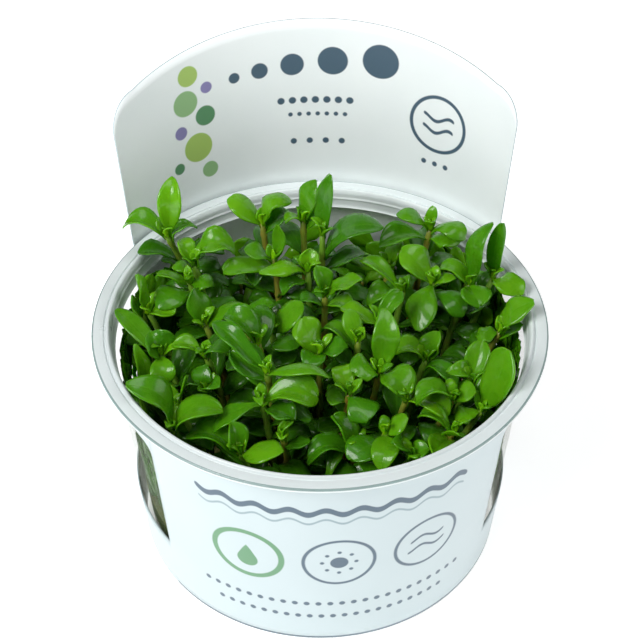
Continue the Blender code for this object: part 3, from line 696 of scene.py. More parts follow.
@dataclass
class GrowingCup:
    """The clear plastic cup: floor, tapered wall, lid seat, snap bead and flange. Millimetres."""

    node: str = "cup"
    rim_radius: float = 45.0
    rim_height: float = 53.6
    base_radius: float = 37.85
    wall_slope: float = 0.0681
    wall: float = 0.8
    floor: float = 1.0
    foot_height: float = 1.4
    foot_chamfer: float = 1.0
    flange_underside: float = 52.65
    lid_seat_height: float = 49.4
    lid_seat_lift: float = 0.6
    lid_seat_radius: float = 41.0
    lid_wall_radius: float = 41.2
    lid_wall_top: float = 53.0
    bead_height: float = 53.85
    bead_radius: float = 41.9
    bead_half: float = 0.5
    groove_depth: float = 0.35
    groove_radius: float = 42.75
    snap_height: float = 51.7
    snap_proud: float = 0.22
    snap_half: float = 0.35
    snap_draft: float = 0.05
    snap_foot_draft: float = 0.08
    edge_round: float = 0.35
    milk_above_seat: float = 0.3
    steps: int = 160

    def outer_radius(self, height: float) -> float:
        """Return the wall's outer radius at a height."""
        return self.base_radius + self.wall_slope * height

    def inner_radius(self, height: float) -> float:
        """Return the wall's inner radius at a height."""
        return self.outer_radius(height) - self.wall

    def profile(self) -> tuple[list[tuple[float, float]], dict[int, tuple[float, int]]]:
        """Return the profile's corners from the inside of the floor to its underside, and its rounds.

        Returns:
            The corners as (radius, height), and the rounds by corner.
        """
        seat = self.lid_seat_height
        rows = [
            (0.0, self.floor, None),
            (self.inner_radius(self.floor), self.floor, (1.2, 5)),
            (self.inner_radius(seat), seat, (0.3, 3)),
            (self.lid_seat_radius, seat + self.lid_seat_lift, (0.3, 3)),
            (self.lid_wall_radius - self.snap_foot_draft, self.snap_height - self.snap_half, (0.12, 2)),
            (self.lid_wall_radius - self.snap_draft - self.snap_proud, self.snap_height, (0.12, 2)),
            (self.lid_wall_radius, self.snap_height + self.snap_half, (0.12, 2)),
            (self.lid_wall_radius, self.lid_wall_top, (0.3, 3)),
            (self.bead_radius - self.bead_half * 0.5, self.bead_height, (0.25, 4)),
            (self.bead_radius + self.bead_half * 0.5, self.bead_height, (0.25, 4)),
            (self.bead_radius + self.bead_half, self.rim_height - self.groove_depth, (0.1, 2)),
            (self.groove_radius - 0.1, self.rim_height - self.groove_depth, (0.1, 2)),
            (self.groove_radius, self.rim_height, (0.12, 3)),
            (self.rim_radius, self.rim_height, (self.edge_round, 5)),
            (self.rim_radius, self.flange_underside, (self.edge_round, 5)),
            (self.outer_radius(self.flange_underside), self.flange_underside, (0.3, 3)),
            (self.outer_radius(self.foot_height), self.foot_height, (0.5, 4)),
            (self.outer_radius(0.0) - self.foot_chamfer, 0.0, (0.4, 4)),
            (0.0, 0.0, None),
        ]
        points = [(radius, height) for radius, height, _ in rows]
        softened = {corner: row[2] for corner, row in enumerate(rows) if row[2]}
        return points, softened

    def build(self) -> bpy.types.Object:
        """Spin the cup and dress it.

        Returns:
            The piece.
        """
        points, softened = self.profile()
        bm = spun(points, softened, self.steps)
        bm.normal_update()
        for face in bm.faces:
            middle = face.calc_center_median()
            reach = middle.xy.length
            outside = face.normal.dot(Vector((*middle.xy, 0.0))) > 0.0
            # The flange's rounded outer edge takes the grey finish: a painted shade line along the rim.
            if middle.z > self.rim_height - self.edge_round and reach > self.rim_radius - self.edge_round:
                face.material_index = CupFace.EDGE
            elif middle.z > self.lid_seat_height + self.milk_above_seat:
                face.material_index = CupFace.THICK
            elif outside and middle.z > self.foot_height:
                face.material_index = CupFace.OUTSIDE
        surfaces = [
            MouldedPolypropylene("thin_clear_polypropylene", "#A9BFA0", 0.0, 0.05, gloss=0.05).material(),
            MouldedPolypropylene("thick_milky_polypropylene", "#EFF7F7", 0.22, 1.0, 0.34).material(),
            # Dark olive tint on the thin wall's outside: painted shade for the dark inside of the cup seen
            # through the windows.
            MouldedPolypropylene("clear_wall_outside_painted_shade", "#526B3A", 0.0, 0.22, gloss=0.04).material(),
            # Grey for the flange's outer edge: painted shade.
            MouldedPolypropylene("painted_shade_edge_polypropylene", "#8FA5A3", 0.2, 1.0, 0.3).material(),
        ]
        return finish_piece("growing_cup", bm, surfaces, self.node)


@dataclass
class GrowingGel:
    """The set agar that the stems stand in. Millimetres."""

    cup: GrowingCup
    node: str = "growing_gel"
    top: float = 14.0
    gap: float = 0.3
    meniscus: float = 0.5
    meniscus_width: float = 2.7
    chamfer: float = 1.0
    steps: int = 120

    def build(self) -> bpy.types.Object:
        """Spin the gel, with its top climbing slightly at the wall, and dress it.

        Returns:
            The piece.
        """
        low = self.cup.floor + self.gap
        edge = self.top + self.meniscus
        points = [
            (0.0, self.top),
            (self.cup.inner_radius(self.top) - self.gap - self.meniscus_width, self.top),
            (self.cup.inner_radius(edge) - self.gap, edge),
            (self.cup.inner_radius(low) - self.gap, low),
            (0.0, low),
        ]
        softened = {1: (1.6, 6), 2: (0.2, 3), 3: (self.chamfer, 5)}
        surface = AgarGel().material()
        return finish_piece("agar_gel", spun(points, softened, self.steps), [surface], self.node)


@dataclass
class LabelSleeve:
    """The printed sheet round the cup, with two windows, that rises behind it as a card.

    Millimetres, and degrees counted from the front (-Y) towards +X.
    """

    UV = "print"
    UV_MM = 100.0

    cup: GrowingCup
    node: str = "label_sleeve"
    sheet: float = 0.35
    gap: float = 0.3
    bottom: float = 0.6
    window_bottom: float = 14.5
    window_top: float = 44.5
    window_corner: float = 2.8
    strip_top: float = 52.3
    front_middle: float = 3.8
    front_left: float = -50.5
    front_right: float = 58.0
    rear_right: float = 121.5
    rear_left: float = 242.0
    card_middle: float = 181.8
    card_half_angle: float = 57.5
    card_half_width: float = 48.0
    card_height: float = 92.4
    card_arc: float = 154.0
    card_corner: float = 7.0
    card_radius: float = 45.5
    lift_start: float = 75.0
    lift_end: float = 115.0
    print_radius: float = 40.5
    lap_start: float = 168.0
    lap_end: float = 182.0
    lap_top: float = 51.6
    lap_glue: float = 0.03
    lap_steps: tuple[int, int] = (10, 12)
    row_counts: tuple[int, int, int, int] = (6, 10, 4, 16)
    front_steps: int = 60
    window_steps: tuple[int, int] = (30, 32)
    card_steps: int = 32
    window_corner_steps: int = 6
    card_corner_steps: int = 12
    offcut: float = 8.0

    def radius(self, turn: float, height: float) -> float:
        """Return the sheet's inner radius: on the cup in front, outside the flange behind.

        Args:
            turn: The turn in degrees.
            height: The height.

        Returns:
            The radius.
        """
        cup = self.cup
        wall = cup.outer_radius(height) + self.gap
        away = abs((turn - self.front_middle + 180.0) % 360.0 - 180.0)
        ramp = min(max((away - self.lift_start) / (self.lift_end - self.lift_start), 0.0), 1.0)
        bulge = ramp * ramp * (3.0 - 2.0 * ramp)
        lift = self.card_radius - cup.outer_radius(cup.rim_height) - self.gap
        rise = (height - self.window_bottom) / (cup.rim_height - self.window_bottom)
        return wall + lift * bulge * min(max(rise, 0.0), 1.0)

    def card_top(self, across: float) -> float:
        """Return the card's top edge: a shallow arc with round corners.

        Args:
            across: The distance from the card's middle.

        Returns:
            The height of the edge there.
        """
        start = self.card_half_width - self.card_corner
        reach = abs(across)
        crest = self.card_height - self.card_arc
        if reach <= start:
            return crest + math.sqrt(self.card_arc ** 2 - reach ** 2)
        corner = crest + math.sqrt(self.card_arc ** 2 - start ** 2) - self.card_corner
        return corner + math.sqrt(max(self.card_corner ** 2 - (reach - start) ** 2, 0.0))

    def window_edge(self, turn: float) -> float:
        """Return the windows' top edge: level, with a round corner beside the front.

        Args:
            turn: The turn in degrees.

        Returns:
            The height of the edge there.
        """
        corner = math.degrees(self.window_corner / self.cup.outer_radius(self.window_top))
        inside = min(turn - self.front_right, self.front_left + 360.0 - turn)
        if not 0.0 <= inside < corner:
            return self.window_top
        off = 1.0 - inside / corner
        return self.window_top - self.window_corner * (1.0 - math.sqrt(1.0 - off * off))

    def columns(self) -> list[tuple[float, float | None]]:
        """Return the sheet's columns as (turn, distance across the card or None).

        Returns:
            The columns.
        """
        quarter = spread(0.0, math.pi / 2.0, self.window_corner_steps)
        round_steps = [1.0 - math.cos(part) for part in quarter]
        corner = math.degrees(self.window_corner / self.cup.outer_radius(self.window_top))
        left_edge = self.front_left + 360.0
        turns = spread(self.front_left, self.front_right, self.front_steps)
        turns += [self.front_right + corner * step for step in round_steps[1:]]
        turns += spread(self.front_right + corner, self.rear_right, self.window_steps[0])[1:]
        far = spread(self.rear_left, left_edge - corner, self.window_steps[1])
        far += [left_edge - corner * step for step in reversed(round_steps[:-1])]
        start = self.card_half_width - self.card_corner
        half = spread(0.0, start, self.card_steps)
        quarter = spread(0.0, math.pi / 2.0, self.card_corner_steps)
        half += [start + self.card_corner * math.sin(part) for part in quarter[1:]]
        across = [-place for place in reversed(half[1:])] + half
        card = [(self.card_middle + place / self.card_half_width * self.card_half_angle, place)
                for place in across]
        return [(turn, None) for turn in turns] + card + [(turn, None) for turn in far]

    def rows(self, turn: float, across: float | None) -> list[float]:
        """Return the heights of the sheet's rows at one column.

        Args:
            turn: The column's turn.
            across: Its distance across the card, or None off it.

        Returns:
            The heights, as many for every column.
        """
        top = self.card_top(across) if across is not None else self.strip_top + self.offcut
        stops = (self.bottom, self.window_bottom, self.window_edge(turn), self.strip_top, top)
        heights = [self.bottom]
        for low, high, count in zip(stops, stops[1:], self.row_counts):
            heights += spread(low, high, count)[1:]
        return heights

    def place(self, turn: float, height: float, proud: float = 0.0) -> Vector:
        """Return a point of the sheet.

        Args:
            turn: Its turn in degrees.
            height: Its height.
            proud: How far it is moved outward.

        Returns:
            The point.
        """
        radius = self.radius(turn, height) + proud
        way = math.radians(turn)
        return Vector((radius * math.sin(way), -radius * math.cos(way), height))

    def band(self) -> bmesh.types.BMesh:
        """Return the sheet with its windows cut, closed round the cup, before it has thickness.

        Returns:
            The sheet.
        """
        columns = self.columns()
        grid = [self.rows(turn, across) for turn, across in columns]
        wide, tall = len(columns) - 1, len(grid[0]) - 1
        below, beside, above, _ = self.row_counts
        window_rows, card_row = range(below, below + beside), below + beside + above
        bm = bmesh.new()
        sheet_uv = bm.loops.layers.uv.new(self.UV)
        bmesh.ops.create_grid(bm, x_segments=wide, y_segments=tall, size=1.0)
        doomed = []
        for face in bm.faces:
            middle = face.calc_center_median()
            column = int((middle.x + 1.0) / 2.0 * wide)
            row = int((middle.y + 1.0) / 2.0 * tall)
            turn = (columns[column][0] + columns[column + 1][0]) / 2.0
            in_window = (self.front_right < turn < self.rear_right
                         or self.rear_left < turn < self.front_left + 360.0)
            on_card = columns[column][1] is not None and columns[column + 1][1] is not None
            if row in window_rows and in_window or row >= card_row and not on_card:
                doomed.append(face)
            for loop in face.loops:
                place = round((loop.vert.co.x + 1.0) / 2.0 * wide)
                level = round((loop.vert.co.y + 1.0) / 2.0 * tall)
                turn_here, across = columns[place]
                if across is None:
                    across = math.radians(turn_here - self.front_middle) * self.print_radius
                else:
                    across = -across
                loop[sheet_uv].uv = (across / self.UV_MM, grid[place][level] / self.UV_MM)
        for vert in bm.verts:
            column = round((vert.co.x + 1.0) / 2.0 * wide)
            row = round((vert.co.y + 1.0) / 2.0 * tall)
            vert.co = self.place(columns[column][0], grid[column][row])
        bmesh.ops.delete(bm, geom=doomed, context="FACES")
        bmesh.ops.remove_doubles(bm, verts=bm.verts, dist=0.01)
        return bm

    def glued_lap(self, bm: bmesh.types.BMesh) -> None:
        """Add the lap at the back where the sheet's two ends are glued, its print in register.

        Args:
            bm: The sheet, before it has thickness.
        """
        sheet_uv = bm.loops.layers.uv[self.UV]
        wide, tall = self.lap_steps
        made = bmesh.ops.create_grid(bm, x_segments=wide, y_segments=tall, size=1.0)["verts"]
        for vert in made:
            turn = self.lap_start + (self.lap_end - self.lap_start) * (vert.co.x + 1.0) / 2.0
            height = self.bottom + (self.lap_top - self.bottom) * (vert.co.y + 1.0) / 2.0
            across = (self.card_middle - turn) / self.card_half_angle * self.card_half_width
            for loop in vert.link_loops:
                loop[sheet_uv].uv = (across / self.UV_MM, height / self.UV_MM)
            vert.co = self.place(turn, height, self.sheet + self.lap_glue)

    def build(self) -> bpy.types.Object:
        """Bend the sheet round the cup, thicken it and print both faces.

        Returns:
            The piece.
        """
        bm = self.band()
        self.glued_lap(bm)
        bm.normal_update()
        inward = [face for face in bm.faces
                  if face.normal.dot(Vector((*face.calc_center_median().xy, 0.0))) > 0.0]
        bmesh.ops.reverse_faces(bm, faces=inward)
        bmesh.ops.solidify(bm, geom=bm.faces[:], thickness=self.sheet)
        bm.normal_update()
        for face in bm.faces:
            outward = face.normal.dot(Vector((*face.calc_center_median().xy, 0.0))) > 0.0
            face.material_index = 0 if outward else 1
        # Painted light and shade: the outside is a darker grey-blue white and the inside a brighter white,
        # lit and shaded copies of one card.
        surfaces = [CoatedCard("coated_card_outside_painted_shade", band_marks(), "#C8D6D9", "#C0CFD2").material(),
                    CoatedCard("coated_card_inside_painted_light", card_marks(), "#F8FDFD", "#EEF6F7").material()]
        return finish_piece("printed_sleeve", bm, surfaces, self.node)


@dataclass
class Shoot:
    """One stem: its crown, how far it leans from its root, and the leaves that show.

    A leaf is where its tip lies from the crown, its width, how far it arches up as a share
    of its length, and the degrees that it is rolled about its length if it is.
    """

    crown: tuple
    leaves: tuple
    lean: tuple | None = None


SHOOTS = (
    # back row, from left to right
    Shoot((-31.5, 18, 60), ((2, 3.5, 12, 5, 0.1, 30), (-7, 5, 5, 6.5, 0.1), (5, 1.5, 2, 3.5, 0.3)),
          lean=(-7, -6)),
    Shoot((-26, 15, 55), ((9, 1.5, 2.5, 6.5, 0.35), (-4, 0.5, 0, 3.5, 0.1), (-2.3, 3.5, 4, 4, 0.1))),
    Shoot((-12, 23.5, 59), ((-6.6, 2.5, 5, 6, 0.1), (6.2, 1.5, 5.5, 5.5, 0.4), (6, 2, 1, 6, 0.2))),
    Shoot((-9.5, 17, 55), ((1, 1, 8, 3.2, 0), (-6, -1, 2, 5, 0.1), (-10.5, -3, -1.5, 5.5, 0.15))),
    Shoot((-3.5, 22, 61), ((2.2, 2, 8.5, 5.2, 0.1), (-3.8, -2, 1.5, 4, 0.2), (5.5, 2.5, 1, 5, 0.2))),
    Shoot((0.5, 18.5, 60), ((12.4, -1.5, 3, 7.5, 0.2), (1.8, 4, 12, 4, 0), (5.2, 3.5, 8, 6, 0.25))),
    Shoot((-2.5, 14, 54), ((-9.5, -3, 1, 5, 0.3), (0.7, 2, 4, 4.2, 0.1), (-5.4, -4.5, -2, 5, 0.1))),
    Shoot((14.5, 20.5, 49), ((-10, 3.5, 2, 5.5, 0.1), (2, 3, 5, 4, 0.1))),
    Shoot((23, 22, 59), ((-7, 0, 4, 4, 0.15), (7, -0.5, 3, 5, 0.2), (-11, -3.5, -2, 6.5, 0.1),
                         (6, -3, -1, 6.5, 0.15), (0, 1.5, 4, 2.4, 0.05))),
    Shoot((30.5, 10, 54), ((2.5, 2, 14, 4.5, 0.1), (1.5, -6, -1.5, 6.5, 0.1), (-5, 2, 4.5, 4, 0.3))),
    Shoot((35.5, 12, 54), ((0.8, 1.6, 13, 3.5, 0.05), (5, -7, 0, 6.5, 0.25))),
    # middle, from left to right
    Shoot((-27, 12, 53), ((-5.2, -7, 0.5, 6.5, 0.2), (-6.1, 0.3, 2, 4.5, 0.15), (5, 1, 2, 5, 0.2))),
    Shoot((-35, 6, 50), ((-5.6, -0.3, 8.5, 5.5, 0.1), (-1.2, 1, 8.8, 3, 0.1), (5.5, -2, 1, 5.5, 0.2))),
    Shoot((-23.5, 5.5, 47), ((-2, 3, 7, 5.5, 0.1), (5.5, 5.5, 4, 4, 0.1))),
    Shoot((-15.5, 6, 48), ((0, 1.5, 8, 2.8, 0), (6.5, 1, 3, 4.5, 0.2))),
    Shoot((-12, -8.5, 55), ((-6.5, 3, 5, 6, 0.2), (0.5, 6.5, 5, 4.5, 0.1))),
    Shoot((-22, -11, 54), ((-6.5, 1.5, 1, 4, 0.15), (5, -2.5, 3, 5, 0.3), (-1.5, -2.5, -6, 4.5, 0.1))),
    Shoot((-9.5, -2, 52), ((6, 2.5, 5, 6, 0.1), (5, -5.5, 0, 6.5, 0.2))),
    Shoot((1, 6.5, 54), ((-1.5, 1.5, 6, 4.5, 0.1), (7, 2.5, 4, 5, 0.2), (-5, -2, 0, 5, 0.1),
                         (5.5, -3.5, -1, 5, 0.1))),
    Shoot((0, -8, 52), ((-3.5, 4, 5, 6.5, 0.1), (-4, -4.5, 1, 5, 0.1), (5, -0.5, 2, 5, 0.1))),
    Shoot((7.5, -6, 53), ((-7.5, 0.5, 2, 4.5, 0.15), (-2, 4.5, 4, 4, 0.1))),
    Shoot((12, -1, 53), ((-8, 1.5, 2, 5, 0.1), (4, 4, 5, 4, 0.2), (4, -5, -2, 5, 0.1))),
    Shoot((17, 10, 52), ((-8.5, 6.5, 4, 4, 0.1), (-7.5, -3.5, 0, 4.5, 0.3))),
    Shoot((23, 10.5, 54), ((-6, 3.5, 6, 7, 0.05), (4.5, -1, 4, 4, 0.2), (6.2, -6, -4, 5.5, 0.15),
                           (-3, -9.5, -5, 6.5, 0.2))),
    Shoot((21, -7, 49), ((7, -2.9, 1, 4.5, 0.3), (2, 2.5, 5, 5, 0.1), (-7.2, -0.5, 1.5, 6, 0.25))),
    Shoot((36, -1, 51), ((6.1, 1.2, 6.2, 5.5, 0.25), (5, -1.5, 3, 5.5, 0.1), (-5.2, 0, -1, 5, 0.1))),
    # front, from left to right
    Shoot((-31, -9.5, 53), ((-9.5, 10.5, 2, 4.5, 0.1), (5, 3.5, 3, 4.5, 0.3), (-1.5, 1.5, 4, 6.5, 0.2),
                            (2, -4.5, -4, 5, 0.3))),
    Shoot((-35, -11, 43), ((-0.5, 1.5, 13, 3.2, 0.05), (5, -3, 1, 5, 0.1))),
    Shoot((-27.5, -18, 46), ((2.5, 0, 9, 4.5, 0.1), (-3.5, 3, 4, 4, 0.1))),
    Shoot((-22, -14.5, 47), ((3, -2, 4, 4.5, 0.2), (-1.5, 0.5, 5, 4, 0.1))),
    Shoot((-28, -24, 47), ((-9.3, 2.5, 8, 6, 0.2), (10, 0, 5, 7, 0.25))),
    Shoot((-10, -18.5, 57), ((-10, 7.5, 6, 4.5, 0.05), (12, -2, 0.5, 3.5, 0.1), (-7, 4.5, 1, 8, 0))),
    Shoot((-11, -21.5, 52), ((11, 0, 1, 7.5, 0.15), (-9.5, -4.5, -3, 4.5, 0.1), (6.3, -3, -2, 5.5, 0.1))),
    Shoot((-15, -29, 46), ((-10, -0.5, 3, 6.5, 0.25), (8, -3, 4, 6.5, 0.1), (-1, 2, 6, 5, 0.1))),
    Shoot((-7, -24.5, 45), ((2, 0, 5, 4.5, 0.2), (5, -1.5, 0, 4.5, 0.1))),
    Shoot((5.5, -18.5, 51), ((-4.3, 0.5, -2, 5.5, 0.1), (3.5, -5.5, -2, 6.5, 0.1),
                             (-1.5, 5.5, 2.5, 5, 0.1))),
    Shoot((11.5, -13.5, 52), ((1, 4, 11, 5.4, 0), (2.5, -8, -2, 7, 0.2), (-6, -2.5, 0, 6, 0.2))),
    Shoot((16.5, -19, 50), ((8, -3.5, -1, 5.5, 0.15),)),
    Shoot((7, -24.5, 43), ((-5, 2.5, 5, 5.5, 0.1), (-9.5, -3, 0, 5.5, 0.1))),
    Shoot((12.5, -24, 46), ((-7, -5.5, -2, 6.5, 0.1), (4, 1, 3, 4.5, 0.2), (1, -8.5, 0, 5.5, 0.1))),
    Shoot((17, -28.5, 44), ((-4, -2, 5, 4, 0.1), (3.5, 0.5, 2, 4.5, 0.1))),
    Shoot((25.5, -24.5, 47), ((-7, 2, 2.5, 4.5, 0.2), (2.4, -7, 4.5, 5, 0.05), (-3.5, -8, 2, 5.5, 0.1))),
    Shoot((25.5, -19, 50), ((-9, 0.5, 3, 6, 0.2), (4, 0, 2, 5.5, 0.1))),
    Shoot((31, -20, 48), ((4.5, 4, 12, 8, 0.05), (8, 3.5, 5, 6, 0.05), (-6.5, -1, 1, 6, 0.1))),
    Shoot((29.5, -14, 49), ((-5, -0.5, 4, 4, 0.2), (2, 6, 6, 5, 0.1))),
)


@dataclass
class Section:
    """A flat four-cornered slice through a stem or a leaf."""

    centre: Vector
    side: Vector
    face: Vector
    half_width: float
    half_depth: float

    def corners(self, margin: float = 0.0) -> list[Vector]:
        """Return the four corners, in order round the slice, each moved out by a margin.

        Args:
            margin: How far each corner is moved out.

        Returns:
            The corners.
        """
        across = self.side * (self.half_width + margin)
        through = self.face * (self.half_depth + margin)
        return [self.centre + across * sx + through * sy
                for sx, sy in ((-1, -1), (1, -1), (1, 1), (-1, 1))]

    def blended(self, other: "Section", share: float) -> "Section":
        """Return the slice at a share of the way to another.

        Args:
            other: The other slice.
            share: The share of the way to it.

        Returns:
            The slice.
        """
        return Section(self.centre.lerp(other.centre, share),
                       self.side.lerp(other.side, share).normalized(),
                       self.face.lerp(other.face, share).normalized(),
                       self.half_width + (other.half_width - self.half_width) * share,
                       self.half_depth + (other.half_depth - self.half_depth) * share)


class LeafKind(Enum):
    """What a leaf is on its shoot: (thickness of the space it takes, its slices, grid steps)."""

    SHOWN = (0.6, ((0.30, 0.80), (0.68, 1.0), (1.0, 0.36)), (8, 14))
    UNDER = (0.6, ((0.52, 1.0), (1.0, 0.38)), (6, 9))
    FILLER = (0.4, ((0.52, 1.0), (1.0, 0.38)), (4, 6))
    SPRIG = (0.35, ((0.52, 1.0), (1.0, 0.38)), (3, 5))
    BUD = (0.3, ((0.52, 1.0), (1.0, 0.30)), (4, 6))

    @property
    def thickness(self) -> float:
        """Return how thick a space the leaf takes, in millimetres."""
        return self.value[0]

    @property
    def outline(self) -> tuple:
        """Return the slices that stand for its blade: (share of its length, share of its width)."""
        return self.value[1]

    @property
    def steps(self) -> tuple[int, int]:
        """Return the blade's grid steps across and along."""
        return self.value[2]


@dataclass
class Leaf:
    """A leaf from its joint, in the middle of its stem, to its tip, bowed upward by arch."""

    joint: Vector
    tip: Vector
    width: float
    arch: float
    roll: float
    kind: LeafKind

    STEM_TIP = 0.6
    BOW_ROOM = 0.36
    BOW_LEAST = 0.18
    JOINT_HALF = 0.9
    STRAIGHT_FOOT = 0.75
    ASKEW_FOOT = 1.2
    SPRIG_FOOT = 0.5
    OFF_STEM = 0.15
    SHINGLED = 50.0
    LEAST_SLOPE = 0.1

    def way(self) -> Vector:
        """Return the leaf's level direction away from its stem."""
        level = Vector((self.tip.x - self.joint.x, self.tip.y - self.joint.y, 0.0))
        return level.normalized() if level.length > 0.01 else Vector((0.0, -1.0, 0.0))

    def bow(self, chord: Vector) -> float:
        """Return how far the middle stands off the chord; a steep leaf stays off its stem.

        Args:
            chord: The straight way from the stem's skin to the tip.

        Returns:
            The distance.
        """
        wanted = self.arch * chord.length
        steep = max(abs(chord.z) / chord.length, self.LEAST_SLOPE)
        level = math.hypot(chord.x, chord.y)
        return min(wanted, (self.BOW_ROOM * level + self.BOW_LEAST) / steep)

    def section(self, share: float, width_share: float) -> Section:
        """Return a slice of the leaf.

        Args:
            share: The share of the way from the stem's skin to the tip.
            width_share: The slice's share of the leaf's width.

        Returns:
            The slice.
        """
        way = self.way()
        base = self.joint + way * self.STEM_TIP
        chord = self.tip - base
        side = UP.cross(way)
        side.rotate(Matrix.Rotation(math.radians(self.roll), 3, chord))
        upward = chord.cross(side).normalized()
        bow = self.bow(chord) * 4.0
        centre = base + chord * share + upward * bow * share * (1.0 - share)
        run = chord + upward * bow * (1.0 - 2.0 * share)
        face = run.cross(side).normalized()
        return Section(centre, side, face, self.width * width_share / 2.0, self.kind.thickness / 2.0)

    def foot(self, half_width: float) -> Section:
        """Return the face of the stem that the leaf grows from, as a slice.

        Args:
            half_width: The slice's half width.

        Returns:
            The slice.
        """
        way = self.way()
        return Section(self.joint + way * self.STEM_TIP, UP.cross(way), UP.copy(), half_width,
                       self.JOINT_HALF)

    def blade(self) -> list[Section]:
        """Return the slices that stand for the leaf's blade."""
        return [self.section(share, width) for share, width in self.kind.outline]

    def whole(self) -> list[Section]:
        """Return the slices of the leaf and of its foot, wide enough for a foot that is askew."""
        askew = self.SPRIG_FOOT if self.kind is LeafKind.SPRIG else self.ASKEW_FOOT
        return [self.foot(askew)] + self.blade()

    def freed(self) -> list[Section]:
        """Return the slices of the leaf from just off its stem."""
        blade = self.blade()
        return [self.foot(self.STRAIGHT_FOOT).blended(blade[0], self.OFF_STEM)] + blade


@dataclass
class Stem:
    """A shoot's stem from its root to its crown, and its leaves by the height of their joint."""

    number: int
    shoot: Shoot
    crown: Vector
    root: Vector
    foot: float = 0.85
    tip: float = 0.6
    leaves: dict = field(default_factory=dict)

    SHARES = (0.0, 0.35, 0.7, 1.0)

    def bent(self, share: float) -> Vector:
        """Return the point at a share of the way up the stem's smooth bend."""
        knee = Vector((self.root.x, self.root.y, (self.root.z + self.crown.z) / 2.0))
        return self.root.lerp(knee, share).lerp(knee.lerp(self.crown, share), share)

    def centre(self, height: float) -> Vector:
        """Return the stem's middle: straight lengths between a few bent joints.

        Args:
            height: The height.

        Returns:
            The middle there.
        """
        share = (height - self.root.z) / (self.crown.z - self.root.z)
        joints = [self.bent(k) for k in self.SHARES]
        for k in range(1, len(joints)):
            if share <= self.SHARES[k] or k == len(joints) - 1:
                span = self.SHARES[k] - self.SHARES[k - 1]
                return joints[k - 1].lerp(joints[k], (share - self.SHARES[k - 1]) / span)
        return self.crown.copy()

    def section(self, height: float) -> Section:
        """Return the slice at a height.

        Args:
            height: The height.

        Returns:
            The slice.
        """
        share = (height - self.root.z) / (self.crown.z - self.root.z)
        half = self.foot + (self.tip - self.foot) * share
        return Section(self.centre(height), Vector((1.0, 0.0, 0.0)), Vector((0.0, 1.0, 0.0)), half, half)


@dataclass
class Space:
    """The space that a stem or a leaf takes: as others meet it, and as its own stem does."""

    stem: Stem | None
    is_leaf: bool
    middle: Vector
    reach: float
    outer: BVHTree
    inner: BVHTree


def tube_tree(sections: list[Section], margin: float) -> BVHTree:
    """Return a search tree of the tube through some slices.

    Args:
        sections: The slices, in order.
        margin: How much larger than the slices the tube is.

    Returns:
        The tree.
    """
    points = [corner for section in sections for corner in section.corners(margin)]
    last = len(points) - 4
    faces = [(0, 1, 2, 3), (last, last + 1, last + 2, last + 3)]
    for start in range(0, last, 4):
        for k in range(4):
            turn = (k + 1) % 4
            faces.append((start + k, start + turn, start + 4 + turn, start + 4 + k))
    return BVHTree.FromPolygons(points, faces)


def joints_of(leaves: tuple) -> list[list[tuple]]:
    """Sort leaves into joints from the top: those of one joint point well apart.

    Args:
        leaves: The leaves that a shoot names.

    Returns:
        The leaves of each joint.
    """
    apart = 0.25
    joints = []
    for leaf in sorted(leaves, key=lambda leaf: -leaf[2]):
        way = Vector(leaf[:2]).normalized()
        for joint in joints:
            if all(way.dot(Vector(other[:2]).normalized()) < apart for other in joint):
                joint.append(leaf)
                break
        else:
            joints.append([leaf])
    return joints


def leaf_changes(rises: tuple[float, ...], turns: tuple[float, ...]) -> list[tuple[float, float, float]]:
    """Return the changes of size, rise and turn that may free a leaf, the smallest first.

    Args:
        rises: The shares of its length by which its tip may move up or down.
        turns: The degrees that it may turn about its joint.

    Returns:
        The changes as (size, rise, turn).
    """
    changes = [((1.0 - size) * 3.0 + abs(rise) + abs(turn) / 60.0, size, rise, turn)
               for size in (1.0, 0.92, 0.84, 0.75) for rise in rises for turn in turns]
    return [change[1:] for change in sorted(changes)]


@dataclass
class Layer:
    """A round of extra pairs down the stems: where, how large and how steep."""

    kind: LeafKind
    depths: tuple[float, ...]
    length: tuple[float, float]
    width: tuple[float, float]
    rise: tuple[float, float]
    arch: float = 0.12
    roll: float = 0.0
    lowest: float = 18.0


